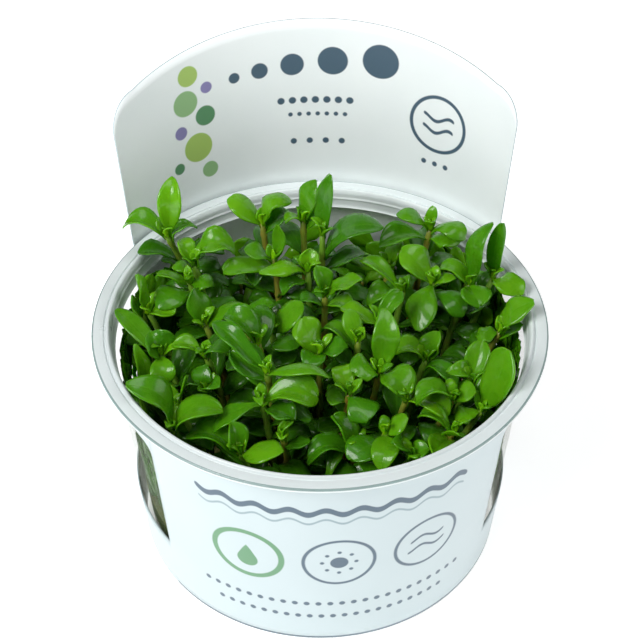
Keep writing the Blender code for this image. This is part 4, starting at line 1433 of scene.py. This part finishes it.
@dataclass
class ShootBed:
    """All shoots, grown so that none of them crosses another, except the young leaves at the crowns, which
    are placed without a test. Millimetres.
    """

    cup: GrowingCup
    gel: GrowingGel
    sleeve: LabelSleeve
    clearance: float = 0.12
    sibling_clearance: float = 0.02
    stem_clearance: float = 0.5
    near: float = 12.0
    root_pull: float = 0.8
    root_tries: int = 30
    root_turn: float = 2.4
    root_step: float = 0.35
    joint_depths: tuple[float, ...] = (0.9, 2.9, 4.9, 6.9)
    under_depths: tuple[float, ...] = (9.0, 15.5)
    under_spacing: float = 2.4
    tall_crown: float = 55.5
    under: Layer = field(default_factory=lambda: Layer(
        LeafKind.UNDER, (), (8.0, 10.5), (4.6, 6.2), (0.1, 0.6)))
    buds: tuple[Layer, ...] = (
        Layer(LeafKind.BUD, (0.7,), (3.4, 4.8), (1.8, 2.6), (1.0, 2.2)),
        Layer(LeafKind.BUD, (0.3,), (2.2, 3.0), (1.2, 1.6), (2.6, 4.5)),
    )
    filler: Layer = field(default_factory=lambda: Layer(
        LeafKind.FILLER, (12.0, 17.0, 22.0, 27.0, 32.0), (6.5, 10.5), (4.0, 6.4), (-0.1, 0.7)))
    sprig: Layer = field(default_factory=lambda: Layer(
        LeafKind.SPRIG, (0.4, 3.6, 6.8, 10.0, 13.2, 16.4, 19.6), (5.0, 8.5), (3.2, 5.2), (0.0, 0.9),
        lowest=15.7))
    pressed: Layer = field(default_factory=lambda: Layer(
        LeafKind.SPRIG, (0.4, 3.4, 6.4, 9.4, 12.4, 15.4, 18.4, 21.4, 24.4, 27.4), (5.5, 8.5), (3.6, 5.6),
        (0.1, 0.9), 0.0, 64.0, 15.7))
    sprig_spacing: float = 5.2
    sprig_jitter: float = 1.5
    sprig_reach: float = 34.5
    sprig_height: tuple[float, float] = (8.0, 24.0)
    sprig_shares: tuple[float, ...] = (1.0, 0.72, 0.5, 0.34)
    wall_sprigs: int = 52
    wall_room: float = 2.2
    wall_sprig_height: tuple[float, float] = (21.0, 30.0)
    wall_side_height: float = 5.0
    sprig_foot: float = 0.5
    sprig_tip: float = 0.35
    wall_jitter: float = 0.2
    joint_room: float = 1.7
    joint_jitter: float = 1.5
    roll_spread: tuple[float, float] = (0.85, 1.15)
    wall_steps: int = 48
    seed: int = 43

    BUD_SEED = 500
    LAYER_SEED = 1000
    WALL_SEED = 7000
    SPRIG_SEED = 9000
    WALL_NUMBER = 100
    SPRIG_NUMBER = 200

    def __post_init__(self) -> None:
        """Start with an empty cup."""
        self.walls = self.walls_tree()
        self.changes = leaf_changes((0.0, 0.1, -0.1, 0.2, -0.2, 0.35, -0.35),
                                    (0.0, 7.0, -7.0, 15.0, -15.0, 25.0, -25.0))
        self.few_changes = leaf_changes((0.0, 0.3, -0.2), (0.0, 18.0, -18.0))
        self.spaces: list[Space] = []
        self.stems: list[Stem] = []

    def walls_tree(self) -> BVHTree:
        """Return a search tree of what leaves must not cross: the cup's inside and the card.

        Returns:
            The tree.
        """
        cup, sleeve = self.cup, self.sleeve
        seat = cup.lid_seat_height
        profile = ((cup.inner_radius(self.gel.top), self.gel.top), (cup.inner_radius(seat), seat),
                   (cup.lid_seat_radius, seat + cup.lid_seat_lift),
                   (cup.lid_wall_radius, cup.lid_wall_top), (cup.bead_radius, cup.bead_height),
                   (cup.rim_radius, cup.rim_height), (sleeve.card_radius, cup.rim_height),
                   (sleeve.radius(sleeve.card_middle, sleeve.card_height), sleeve.card_height))
        points = []
        for step in range(self.wall_steps):
            turn = step * math.tau / self.wall_steps
            points += [Vector((r * math.cos(turn), r * math.sin(turn), z)) for r, z in profile]
        count = len(profile)
        faces = []
        for step in range(self.wall_steps):
            here, beside = step * count, (step + 1) % self.wall_steps * count
            faces += [(here + k, beside + k, beside + k + 1, here + k + 1) for k in range(count - 1)]
        return BVHTree.FromPolygons(points, faces)

    def within_cup(self, leaf: Leaf) -> bool:
        """Tell whether every corner of a leaf stays inside the cup, or above its rim.

        Args:
            leaf: The leaf.

        Returns:
            Whether it does.
        """
        for section in leaf.blade():
            for corner in section.corners(self.clearance):
                reach = math.hypot(corner.x, corner.y)
                low = corner.z < self.cup.bead_height
                limit = self.cup.inner_radius(corner.z) if low else self.cup.rim_radius
                if reach > limit or corner.z < self.gel.top + self.gel.gap:
                    return False
        return True

    def keep(self, stem: Stem, is_leaf: bool, outer: list[Section], inner: list[Section]) -> None:
        """Remember the space of a stem or a leaf that has grown.

        Args:
            stem: The stem that it is or grows from.
            is_leaf: Whether it is a leaf.
            outer: The slices that others must stay clear of.
            inner: The slices that its own stem's leaves must stay clear of.
        """
        middle = outer[len(outer) // 2].centre
        reach = max((section.centre - middle).length for section in outer)
        self.spaces.append(Space(stem, is_leaf, middle, reach, tube_tree(outer, 0.0),
                                 tube_tree(inner, 0.0)))

    def leaf_is_free(self, stem: Stem, leaf: Leaf) -> bool:
        """Tell whether a leaf is clear of the cup and of all that has grown.

        Args:
            stem: The leaf's stem.
            leaf: The leaf.

        Returns:
            Whether it is.
        """
        if not self.within_cup(leaf):
            return False
        whole = tube_tree(leaf.whole(), self.clearance)
        if whole.overlap(self.walls):
            return False
        freed = tube_tree(leaf.freed(), self.sibling_clearance)
        blade = tube_tree(leaf.blade(), self.clearance)
        middle = leaf.section(0.5, 1.0).centre
        for space in self.spaces:
            if (space.middle - middle).length >= space.reach + self.near:
                continue
            if space.stem is not stem:
                blocked = whole.overlap(space.outer)
            elif space.is_leaf:
                blocked = freed.overlap(space.inner)
            else:
                blocked = blade.overlap(space.inner)
            if blocked:
                return False
        return True

    def plant(self, number: int, shoot: Shoot) -> None:
        """Stand one stem in the gel, moving its root until it is clear of the others.

        Args:
            number: The stem's number.
            shoot: What it is like.
        """
        crown = Vector(shoot.crown)
        pull = 1.0 - self.root_pull
        lean = Vector(shoot.lean or (crown.x * pull, crown.y * pull))
        walls = Space(None, False, Vector(), 0.0, self.walls, self.walls)
        for attempt in range(self.root_tries):
            turn = attempt * self.root_turn
            shift = Vector((math.cos(turn), math.sin(turn))) * self.root_step * attempt
            root = Vector((crown.x - lean.x + shift.x, crown.y - lean.y + shift.y,
                           self.gel.top + self.gel.gap))
            stem = Stem(number, shoot, crown, root)
            sections = [stem.section(root.z + (crown.z - root.z) * share) for share in Stem.SHARES]
            tree = tube_tree(sections, self.stem_clearance)
            if not any(tree.overlap(space.outer) for space in self.spaces + [walls]):
                self.keep(stem, False, sections, sections)
                self.stems.append(stem)
                return
        raise RuntimeError(f"no room for shoot {number}")

    def fit_leaf(self, stem: Stem, leaf: Leaf) -> Leaf | None:
        """Turn or shorten a leaf until it is clear of everything.

        Args:
            stem: The leaf's stem.
            leaf: The leaf as wanted.

        Returns:
            The leaf as it fits, or None.
        """
        chord = leaf.tip - leaf.joint
        if leaf.kind is LeafKind.BUD:
            return leaf
        few = leaf.kind in (LeafKind.FILLER, LeafKind.SPRIG)
        for size, rise, turn in self.few_changes if few else self.changes:
            reach = chord.copy()
            reach.z += rise * chord.length
            reach = reach.normalized() * chord.length * size
            reach.rotate(Matrix.Rotation(math.radians(turn), 3, "Z"))
            trial = Leaf(leaf.joint, leaf.joint + reach, leaf.width * size, leaf.arch, leaf.roll,
                         leaf.kind)
            if self.leaf_is_free(stem, trial):
                return trial
        return None

    def grow_joint(self, stem: Stem, height: float, leaves: list[Leaf]) -> None:
        """Add the leaves of one joint to a stem, and remember those that fit.

        Args:
            stem: The stem.
            height: The joint's height.
            leaves: The leaves as wanted.
        """
        placed = []
        for wanted in leaves:
            leaf = self.fit_leaf(stem, wanted)
            if leaf:
                self.keep(stem, True, leaf.whole(), leaf.freed())
                placed.append(leaf)
        stem.leaves[height] = placed

    def pair(self, stem: Stem, height: float, turn: float, layer: Layer, draw: random.Random) -> None:
        """Grow one pair of leaves, its size and steepness drawn at random.

        Args:
            stem: The stem.
            height: The joint's height.
            turn: Where the first leaf points, in radians.
            layer: What the pair is like.
            draw: The source of the random values.
        """
        joint = stem.section(height).centre
        leaves = []
        for way, roll in ((turn, -layer.roll), (turn + math.pi, layer.roll)):
            length = draw.uniform(*layer.length)
            rise = draw.uniform(*layer.rise)
            reach = Vector((math.cos(way), math.sin(way), rise)).normalized() * length
            width = draw.uniform(*layer.width)
            if layer.roll:
                roll *= draw.uniform(*self.roll_spread)
            leaves.append(Leaf(joint, joint + reach, width, layer.arch, roll, layer.kind))
        self.grow_joint(stem, height, leaves)

    def grow_shown_leaves(self) -> None:
        """Grow the leaves that each shoot names, pair by pair from the top."""
        for stem in self.stems:
            for depth, joint in zip(self.joint_depths, joints_of(stem.shoot.leaves)):
                height = stem.crown.z - depth
                centre = stem.section(height).centre
                leaves = [Leaf(centre, stem.crown + Vector((x, y, z)), width, arch, sum(roll),
                               LeafKind.SHOWN) for x, y, z, width, arch, *roll in joint]
                self.grow_joint(stem, height, leaves)

    def grow_under_leaves(self) -> None:
        """Grow plain pairs lower on each stem, where there is room: two on the tall stems."""
        for stem in self.stems:
            draw = random.Random(self.seed + stem.number)
            turn = draw.uniform(0.0, math.tau)
            lowest = min(stem.leaves) - self.under_spacing
            depths = self.under_depths if stem.crown.z > self.tall_crown else self.under_depths[:1]
            for depth in depths:
                self.pair(stem, min(stem.crown.z - depth, lowest), turn, self.under, draw)
                turn += math.pi / 2.0

    def grow_buds(self) -> None:
        """Close every crown with its young leaves, each pair across the one below."""
        for stem in self.stems:
            draw = random.Random(self.seed + self.BUD_SEED + stem.number)
            top = stem.leaves[max(stem.leaves)]
            way = top[0].way() if top else Vector((1.0, 0.0, 0.0))
            turn = math.atan2(way.y, way.x) + math.pi / 2.0
            for layer in self.buds:
                self.pair(stem, stem.crown.z - layer.depths[0], turn, layer, draw)
                turn += math.pi / 2.0

    def grow_layer(self, stems: list[Stem], layer: Layer) -> None:
        """Grow extra pairs down some stems, depth by depth, where a stem has a free stretch.

        Args:
            stems: The stems.
            layer: What the pairs are like.
        """
        for level, depth in enumerate(layer.depths):
            for stem in stems:
                draw = random.Random(self.seed + self.LAYER_SEED * (level + 1) + stem.number)
                turn = draw.uniform(0.0, math.tau)
                if layer.roll:
                    turn = math.atan2(stem.crown.y, stem.crown.x) + math.pi / 2.0
                height = stem.crown.z - depth - draw.uniform(0.0, self.joint_jitter) * (level > 0)
                room = all(abs(height - joint) > self.joint_room for joint in stem.leaves)
                if room and height > layer.lowest:
                    self.pair(stem, height, turn, layer, draw)

    def sprig_at(self, x: float, y: float, height: float, number: int) -> Stem | None:
        """Stand one small sprig in the gel if there is room, leaning as the wall does.

        Args:
            x: Where its foot stands.
            y: Where its foot stands.
            height: Its height over the gel.
            number: Its number.

        Returns:
            The sprig, or None.
        """
        low = self.gel.top + self.gel.gap
        lean = 1.0 + self.cup.wall_slope * height / self.cup.inner_radius(low)
        crown = Vector((x * lean, y * lean, low + height))
        stem = Stem(number, Shoot(tuple(crown), ()), crown, Vector((x, y, low)), self.sprig_foot,
                    self.sprig_tip)
        sections = [stem.section(low + height * share) for share in Stem.SHARES]
        tree = tube_tree(sections, self.clearance)
        if any(tree.overlap(space.outer) for space in self.spaces):
            return None
        self.keep(stem, False, sections, sections)
        return stem

    def grow_wall_sprigs(self) -> list[Stem]:
        """Stand sprigs close along the cup's wall, their leaves pressed against it.

        Returns:
            The sprigs that have leaves.
        """
        draw = random.Random(self.seed + self.WALL_SEED)
        reach = self.cup.inner_radius(self.gel.top) - self.wall_room
        sprigs = []
        for k in range(self.wall_sprigs):
            turn = math.tau * (k + draw.uniform(-self.wall_jitter, self.wall_jitter)) / self.wall_sprigs
            height = draw.uniform(*self.wall_sprig_height) + self.wall_side_height * abs(math.cos(turn))
            sprigs.append(self.sprig_at(reach * math.cos(turn), reach * math.sin(turn), height,
                                        self.WALL_NUMBER + k))
        sprigs = [sprig for sprig in sprigs if sprig]
        self.grow_layer(sprigs, self.pressed)
        return [sprig for sprig in sprigs if sprig.leaves and any(sprig.leaves[max(sprig.leaves)])]

    def grow_undergrowth(self) -> list[Stem]:
        """Stand small sprigs between the shoots wherever there is room.

        Returns:
            The sprigs that have leaves.
        """
        draw = random.Random(self.seed + self.SPRIG_SEED)
        sprigs = []
        rows = int(self.sprig_reach / self.sprig_spacing) + 1
        for row in range(-rows, rows + 1):
            for column in range(-rows, rows + 1):
                x = (column + 0.5 * (row % 2)) * self.sprig_spacing
                y = row * self.sprig_spacing * math.sqrt(0.75)
                x += draw.uniform(-self.sprig_jitter, self.sprig_jitter)
                y += draw.uniform(-self.sprig_jitter, self.sprig_jitter)
                height = draw.uniform(*self.sprig_height)
                if math.hypot(x, y) > self.sprig_reach:
                    continue
                for share in self.sprig_shares:
                    sprig = self.sprig_at(x, y, height * share, self.SPRIG_NUMBER + len(sprigs))
                    if sprig:
                        sprigs.append(sprig)
                        break
        self.grow_layer(sprigs, self.sprig)
        return [sprig for sprig in sprigs if sprig.leaves and any(sprig.leaves[max(sprig.leaves)])]

    def grow(self) -> tuple[list[Stem], list[Stem]]:
        """Grow every shoot from its shown leaves down, then the sprigs.

        Returns:
            The sprigs along the wall, and those between the shoots.
        """
        for number, shoot in enumerate(SHOOTS):
            self.plant(number, shoot)
        self.grow_shown_leaves()
        self.grow_under_leaves()
        self.grow_buds()
        self.grow_layer(self.stems, self.filler)
        return self.grow_wall_sprigs(), self.grow_undergrowth()

    def build(self, surfaces: list[bpy.types.Material]) -> list[bpy.types.Object]:
        """Grow the shoots and the undergrowth and make their pieces.

        Args:
            surfaces: The leaf's and the stem's material.

        Returns:
            The pieces.
        """
        pressed, sprigs = self.grow()
        pieces = [Foliage([stem], self.seed).build(f"leafy_shoot_{stem.number + 1:02d}", surfaces,
                                                   f"shoot_{stem.number + 1:02d}")
                  for stem in self.stems]
        pieces.append(Foliage(pressed, self.seed).build("wall_growth", surfaces, None))
        pieces.append(Foliage(sprigs, self.seed).build("undergrowth", surfaces, None))
        return pieces


@dataclass(frozen=True)
class BladeForm:
    """How one blade departs from a flat oval, in shares of its own width and length, and degrees."""

    widest: float
    bluntness: float
    stalk: float
    skew: float
    sway: float
    cup: float
    curl: float
    tip_drop: float
    twist: float
    wave: float
    waves: float
    phase: float
    youth: float

    CROWN_YOUTH = 0.78
    DARKENING_DEPTH = 12.0
    BUD_YOUTH = 0.85
    SLENDER = 0.45
    DROP_START = 0.62

    @classmethod
    def drawn(cls, leaf: Leaf, stem: Stem, draw: random.Random) -> "BladeForm":
        """Draw a blade's form at random, flatter where it is rolled against the wall, and its youth, which
        falls the lower it grows below its crown.

        Args:
            leaf: The leaf.
            stem: The stem that it grows from.
            draw: The source of its random values.

        Returns:
            The form.
        """
        depth = max(stem.crown.z - leaf.joint.z, 0.0)
        # Youth falls the lower a blade grows below its crown. This is real ageing and also painted shade,
        # since deep blades take the darkest tone.
        youth = max(0.0, cls.CROWN_YOUTH - depth / cls.DARKENING_DEPTH)
        if leaf.kind is LeafKind.BUD:
            youth = cls.BUD_YOUTH
        slender = leaf.width / max((leaf.tip - leaf.joint).length, 1.0)
        form = cls(widest=draw.uniform(0.54, 0.66), bluntness=draw.uniform(0.5, 0.72),
                   stalk=0.18 + 0.1 * (slender < cls.SLENDER), skew=draw.uniform(-0.12, 0.12),
                   sway=draw.uniform(-0.08, 0.08), cup=draw.uniform(-0.28, 0.55),
                   curl=draw.uniform(-0.05, 0.09), tip_drop=draw.uniform(-0.5, 1.5),
                   twist=draw.uniform(-38.0, 38.0), wave=draw.uniform(0.02, 0.2),
                   waves=draw.uniform(0.8, 2.2), phase=draw.uniform(0.0, math.tau),
                   youth=youth + draw.uniform(-0.28, 0.24))
        if abs(leaf.roll) > Leaf.SHINGLED:
            return replace(form, cup=abs(form.cup) * 0.5, curl=abs(form.curl), tip_drop=0.0, twist=0.0,
                           wave=form.wave * 0.4)
        return form

    @classmethod
    def flat(cls, draw: random.Random) -> "BladeForm":
        """Draw the form of an old blade that clings flat to the wall.

        Args:
            draw: The source of its random values.

        Returns:
            The form.
        """
        return cls(widest=draw.uniform(0.5, 0.64), bluntness=draw.uniform(0.5, 0.72), stalk=0.2,
                   skew=0.0, sway=draw.uniform(-0.08, 0.08), cup=0.0, curl=0.0, tip_drop=0.0, twist=0.0,
                   wave=draw.uniform(0.02, 0.12), waves=draw.uniform(0.8, 2.2),
                   phase=draw.uniform(0.0, math.tau), youth=draw.uniform(-0.25, 0.3))

    def half_width(self, share: float) -> float:
        """Return the half width, beside the full half width.

        Args:
            share: The share of the length.

        Returns:
            The half width there, as a share of the full one.
        """
        along = min(max(share, 0.0), 1.0)
        power = math.log(0.5) / math.log(self.widest)
        oval = math.sin(math.pi * along ** power) ** self.bluntness
        stalk = self.stalk * (1.0 - along) ** 2
        return max(oval, stalk)

    def lift(self, share: float, across: float, half_width: float, full: float, length: float) -> float:
        """Return how far a point of the blade stands off its midline's plane.

        Args:
            share: The point's share of the length.
            across: Its share of the half width, -1 to 1.
            half_width: The half width there.
            full: The leaf's full half width.
            length: The leaf's length.

        Returns:
            The distance towards the upper side.
        """
        along = max(share, 0.0)
        fold = self.cup * half_width * abs(across) ** 1.5
        ripple = self.wave * full * across * across * math.sin(
            self.waves * math.tau * share + self.phase + across)
        arch = self.curl * length * 6.75 * along ** 2 * (1.0 - along)
        drop = self.tip_drop * length * max(along - self.DROP_START, 0.0) ** 2
        return fold + ripple + arch - drop


@dataclass
class Foliage:
    """The visible piece of one shoot, or of the undergrowth: round stems and thin cupped leaves."""

    stems: list[Stem]
    seed: int

    ACROSS = "across"
    BELOW = "below"
    YOUTH = "youth"
    STEM_SURFACE = 1
    STEM_SIDES = 10
    STEM_STEP = 2.5
    NODE_SWELL = 0.16
    NODE_HALF = 0.8
    NODE_ROOM = 0.3
    NODE_EDGE = 0.02
    ROW_EASE = 1.15
    TIP_LOW = 0.4
    TIP_RISE = 0.1
    TIP_SWELL = -0.3
    LEAF_SHEET = 0.28
    ROOT_SHARE = -0.05
    TIP_SHARE = 0.992

    def add_blade(self, bm: bmesh.types.BMesh, leaf: Leaf, form: BladeForm) -> None:
        """Shape one grid into a leaf's blade.

        Args:
            bm: The shape so far, holding only blades with no thickness.
            leaf: The leaf's place.
            form: The blade's form.
        """
        across_layer = bm.verts.layers.float[self.ACROSS]
        youth_layer = bm.verts.layers.float[self.YOUTH]
        wide, tall = leaf.kind.steps
        length = (leaf.tip - leaf.joint).length
        made = bmesh.ops.create_grid(bm, x_segments=wide, y_segments=tall, size=1.0)["verts"]
        rows = {}
        for vert in made:
            level = round((vert.co.y + 1.0) / 2.0 * tall)
            if level not in rows:
                eased = math.sin(level / tall * math.pi / 2.0) ** self.ROW_EASE
                share = self.ROOT_SHARE + (self.TIP_SHARE - self.ROOT_SHARE) * eased
                rows[level] = (share, leaf.section(share, form.half_width(share)))
            share, row = rows[level]
            across = vert.co.x
            turn = Matrix.Rotation(math.radians(form.twist * (share - 0.3)), 3, row.side.cross(row.face))
            lift = form.lift(share, across, row.half_width, leaf.width / 2.0, length)
            out = across * row.half_width * (1.0 + form.skew * math.copysign(1.0, across))
            out += form.sway * length * math.sin(math.pi * max(share, 0.0))
            vert[across_layer] = across
            vert[youth_layer] = form.youth
            vert.co = row.centre + (turn @ row.side) * out + (turn @ row.face) * lift

    @classmethod
    def new_shape(cls) -> bmesh.types.BMesh:
        """Return an empty shape with the layers that the leaf's and the stem's colours read.

        Returns:
            The shape.
        """
        bm = bmesh.new()
        for layer in (cls.ACROSS, cls.BELOW, cls.YOUTH):
            bm.verts.layers.float.new(layer)
        return bm

    @classmethod
    def thicken(cls, bm: bmesh.types.BMesh, sheet: float) -> None:
        """Give blades their thickness, and mark their undersides.

        Args:
            bm: The blades.
            sheet: How thick they get.
        """
        bm.normal_update()
        made = bmesh.ops.solidify(bm, geom=bm.faces[:], thickness=sheet)["geom"]
        below_layer = bm.verts.layers.float[cls.BELOW]
        for part in made:
            if isinstance(part, bmesh.types.BMVert):
                part[below_layer] = 1.0

    def add_leaves(self, bm: bmesh.types.BMesh) -> None:
        """Add every leaf and give the blades their thickness.

        Args:
            bm: The shape so far, which is empty.
        """
        for stem in self.stems:
            leaves = [leaf for height in sorted(stem.leaves) for leaf in stem.leaves[height]]
            for count, leaf in enumerate(leaves):
                draw = random.Random(self.seed + 100 * stem.number + count)
                self.add_blade(bm, leaf, BladeForm.drawn(leaf, stem, draw))
        self.thicken(bm, self.LEAF_SHEET)

    def stem_levels(self, stem: Stem) -> list[tuple[float, float]]:
        """Work out at which heights a stem is drawn.

        Args:
            stem: The stem.

        Returns:
            Each height, and how much the stem swells there.
        """
        end = stem.crown.z - self.TIP_LOW
        count = max(int((end - stem.root.z) / self.STEM_STEP), 4)
        levels = dict.fromkeys(spread(stem.root.z, end, count), 0.0)
        for joint, leaves in stem.leaves.items():
            if not leaves or joint > end - self.NODE_HALF:
                continue
            for height in [k for k in levels if abs(k - joint) < self.NODE_HALF + self.NODE_ROOM
                           and stem.root.z < k < end]:
                del levels[height]
            levels[joint] = self.NODE_SWELL
            for edge in (joint - self.NODE_HALF, joint + self.NODE_HALF):
                if stem.root.z < edge < end:
                    levels[edge] = self.NODE_EDGE
        levels[end + self.TIP_RISE] = self.TIP_SWELL
        return sorted(levels.items())

    def set_ring(self, stem: Stem, verts: list[bmesh.types.BMVert], middle: Vector,
                 level: tuple[float, float], youth: tuple[bmesh.types.BMLayerItem, float]) -> None:
        """Move one ring of a stem to a height, at the stem's radius there.

        Args:
            stem: The stem.
            verts: The ring's vertices.
            middle: The ring's middle now.
            level: The height to move it to, and how much the stem swells there.
            youth: The layer that holds the stem's greenness, and its value at the foot.
        """
        height, swell = level
        share = (height - stem.root.z) / (stem.crown.z - stem.root.z)
        radius = stem.section(height).half_width + swell
        for vert in verts:
            way = Vector((*(vert.co - middle).xy, 0.0)).normalized()
            vert.co = stem.bent(share) + way * radius
            vert[youth[0]] = youth[1] + 0.5 * share

    def add_stem(self, bm: bmesh.types.BMesh, stem: Stem, draw: random.Random) -> None:
        """Add one round stem: a cylinder extruded from joint to joint, swollen where leaves grow.

        Args:
            bm: The shape so far.
            stem: The stem.
            draw: The source of its greenness.
        """
        before = set(bm.faces)
        youth = (bm.verts.layers.float[self.YOUTH], draw.uniform(-0.25, 0.6))
        levels = self.stem_levels(stem)
        made = bmesh.ops.create_cone(bm, cap_ends=True, segments=self.STEM_SIDES, radius1=1.0, radius2=1.0,
                                     depth=1.0)["verts"]
        low = [vert for vert in made if vert.co.z < 0.0]
        high = [vert for vert in made if vert.co.z > 0.0]
        top = next(face for face in high[0].link_faces if set(face.verts) == set(high))
        self.set_ring(stem, low, Vector(), levels[0], youth)
        self.set_ring(stem, high, Vector(), levels[1], youth)
        for level in levels[2:]:
            top = bmesh.ops.extrude_discrete_faces(bm, faces=[top])["faces"][0]
            self.set_ring(stem, top.verts, top.calc_center_median(), level, youth)
        for face in bm.faces:
            if face not in before:
                face.material_index = self.STEM_SURFACE

    def build(self, name: str, surfaces: list[bpy.types.Material], node: str | None) -> bpy.types.Object:
        """Make the piece.

        Args:
            name: The piece's name.
            surfaces: The leaf's and the stem's material.
            node: The CAD node that it stands for, if any.

        Returns:
            The piece.
        """
        bm = self.new_shape()
        self.add_leaves(bm)
        stems = self.new_shape()
        for stem in self.stems:
            self.add_stem(stems, stem, random.Random(self.seed * 7 + stem.number))
        bmesh.ops.recalc_face_normals(stems, faces=stems.faces)
        stem_mesh = bpy.data.meshes.new(name)
        stems.to_mesh(stem_mesh)
        stems.free()
        bm.from_mesh(stem_mesh)
        bpy.data.meshes.remove(stem_mesh)
        return finish_piece(name, bm, surfaces, node)


@dataclass
class PressedLeaves:
    """Wet old leaves that cling to the inside of the wall behind the two windows. Millimetres."""

    cup: GrowingCup
    sleeve: LabelSleeve
    seed: int = 11
    count: int = 350
    margin: float = 12.0
    low: float = 15.5
    high: float = 49.2
    length: tuple[float, float] = (7.0, 11.0)
    width: tuple[float, float] = (3.4, 5.6)
    lean: tuple[float, float] = (30.0, 150.0)
    off_wall: tuple[float, float] = (0.06, 0.75)
    top_spread: float = 1.8
    top_room: float = 3.0
    sheet: float = 0.2
    steps: tuple[int, int] = (3, 5)

    def turn(self, draw: random.Random) -> float:
        """Draw a turn behind one of the windows.

        Args:
            draw: The source of the random values.

        Returns:
            The turn in degrees.
        """
        sleeve = self.sleeve
        right = draw.uniform(sleeve.front_right - self.margin, sleeve.rear_right + self.margin)
        left = draw.uniform(sleeve.rear_left - self.margin, sleeve.front_left + 360.0 + self.margin)
        return draw.choice((right, left))

    def add_leaf(self, bm: bmesh.types.BMesh, draw: random.Random) -> None:
        """Lay one blade on the wall, its upper side outward.

        Args:
            bm: The shape so far, holding only blades with no thickness.
            draw: The source of its place, size and form.
        """
        across_layer = bm.verts.layers.float[Foliage.ACROSS]
        youth_layer = bm.verts.layers.float[Foliage.YOUTH]
        form = BladeForm.flat(draw)
        length, width = draw.uniform(*self.length), draw.uniform(*self.width)
        lean = math.radians(draw.uniform(*self.lean))
        turn = math.radians(self.turn(draw))
        most = self.high - draw.uniform(0.0, self.top_spread) - length * math.sin(lean)
        foot = min(most, draw.uniform(self.low, self.high - self.top_room))
        off = draw.uniform(*self.off_wall)
        wide, tall = self.steps
        for vert in bmesh.ops.create_grid(bm, x_segments=wide, y_segments=tall, size=1.0)["verts"]:
            share, across = (vert.co.y + 1.0) / 2.0, vert.co.x
            side = -across * form.half_width(share * Foliage.TIP_SHARE) * width / 2.0
            side += form.sway * length * math.sin(math.pi * share)
            along = share * length
            height = foot + along * math.sin(lean) + side * math.cos(lean)
            wall = self.cup.inner_radius(height)
            way = turn + (along * math.cos(lean) - side * math.sin(lean)) / wall
            ripple = form.wave * width * (1.0 + math.sin(form.waves * math.tau * share + form.phase))
            reach = wall - off - ripple * across * across
            vert[across_layer] = across
            vert[youth_layer] = form.youth
            vert.co = Vector((reach * math.sin(way), -reach * math.cos(way), height))

    def build(self, surface: bpy.types.Material) -> bpy.types.Object:
        """Lay every leaf and give the blades their thickness.

        Args:
            surface: The leaf's material.

        Returns:
            The piece.
        """
        draw = random.Random(self.seed)
        bm = Foliage.new_shape()
        for _ in range(self.count):
            self.add_leaf(bm, draw)
        Foliage.thicken(bm, self.sheet)
        return finish_piece("pressed_leaves", bm, [surface], None)


@dataclass
class Lamp:
    """One soft area light. Metres, watts."""

    name: str
    place: tuple[float, float, float]
    aim: tuple[float, float, float]
    size: float
    power: float

    def build(self) -> bpy.types.Object:
        """Hang the lamp, turned to its aim.

        Returns:
            The lamp.
        """
        light = bpy.data.lights.new(self.name, "AREA")
        light.shape = "SQUARE"
        light.size = self.size
        light.energy = self.power
        made = bpy.data.objects.new(self.name, light)
        made.location = self.place
        made.rotation_euler = (Vector(self.aim) - Vector(self.place)).to_track_quat("-Z", "Y").to_euler()
        bpy.context.scene.collection.objects.link(made)
        return made


@dataclass
class Studio:
    """The pale floor, the white room, the soft lamps and the camera. Metres, degrees."""

    camera_place: tuple[float, float, float] = (0.0, -0.2083, 0.2430)
    camera_down: float = 42.397
    lens: float = 80.0
    floor_half: float = 6.0
    room_white: str = "#FFFFFF"
    room_strength: float = 0.06
    lamps: tuple[Lamp, ...] = (
        Lamp("key_lamp", (-0.46, -0.36, 0.62), (0.0, 0.0, 0.04), 0.36, 5.8),
        Lamp("top_lamp", (0.10, -0.14, 0.95), (0.0, 0.0, 0.04), 0.45, 2.4),
        Lamp("fill_lamp", (0.84, -0.26, 0.36), (0.0, 0.0, 0.08), 0.5, 2.0),
    )

    def build(self) -> None:
        """Build the studio and set its camera as the scene's."""
        scene = bpy.context.scene
        camera = bpy.data.objects.new("camera", bpy.data.cameras.new("camera"))
        camera.location = self.camera_place
        camera.rotation_euler = (math.radians(90.0 - self.camera_down), 0.0, 0.0)
        camera.data.lens = self.lens
        camera.data.clip_start = 0.01
        scene.collection.objects.link(camera)
        scene.camera = camera
        for lamp in self.lamps:
            lamp.build()
        room = bpy.data.worlds.new("white_room")
        scene.world = room
        room.use_nodes = True
        sky = room.node_tree.nodes["Background"]
        sky.inputs["Color"].default_value = linear(self.room_white)
        sky.inputs["Strength"].default_value = self.room_strength
        scene.view_settings.view_transform = "Standard"
        scene.view_settings.look = "Medium Contrast"
        self.floor()

    def floor(self) -> None:
        """Lay the floor board under the pot."""
        bm = bmesh.new()
        bmesh.ops.create_grid(bm, x_segments=1, y_segments=1, size=self.floor_half)
        mesh = bpy.data.meshes.new("floor_board")
        bm.to_mesh(mesh)
        bm.free()
        mesh.materials.append(PaintedBoard().material())
        board = bpy.data.objects.new("floor_board", mesh)
        bpy.context.scene.collection.objects.link(board)


def main() -> None:
    """Build the studio and every piece of the potted plant, in order."""
    logging.basicConfig(level=logging.INFO, format="%(message)s")
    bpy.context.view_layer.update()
    Studio().build()
    cup = GrowingCup()
    gel = GrowingGel(cup)
    sleeve = LabelSleeve(cup)
    cup.build()
    gel.build()
    sleeve.build()
    surfaces = [LeafTissue().material(), StemTissue().material()]
    # Water fills the gap between these leaves and the wall, so they have next to no gloss of their own.
    PressedLeaves(cup, sleeve).build(LeafTissue("leaf_wet_on_wall", gloss=0.03, wax=0.0).material())
    pieces = ShootBed(cup, gel, sleeve).build(surfaces)
    log.info("%d pieces of plant are grown", len(pieces))


if __name__ == "__main__":
    main()
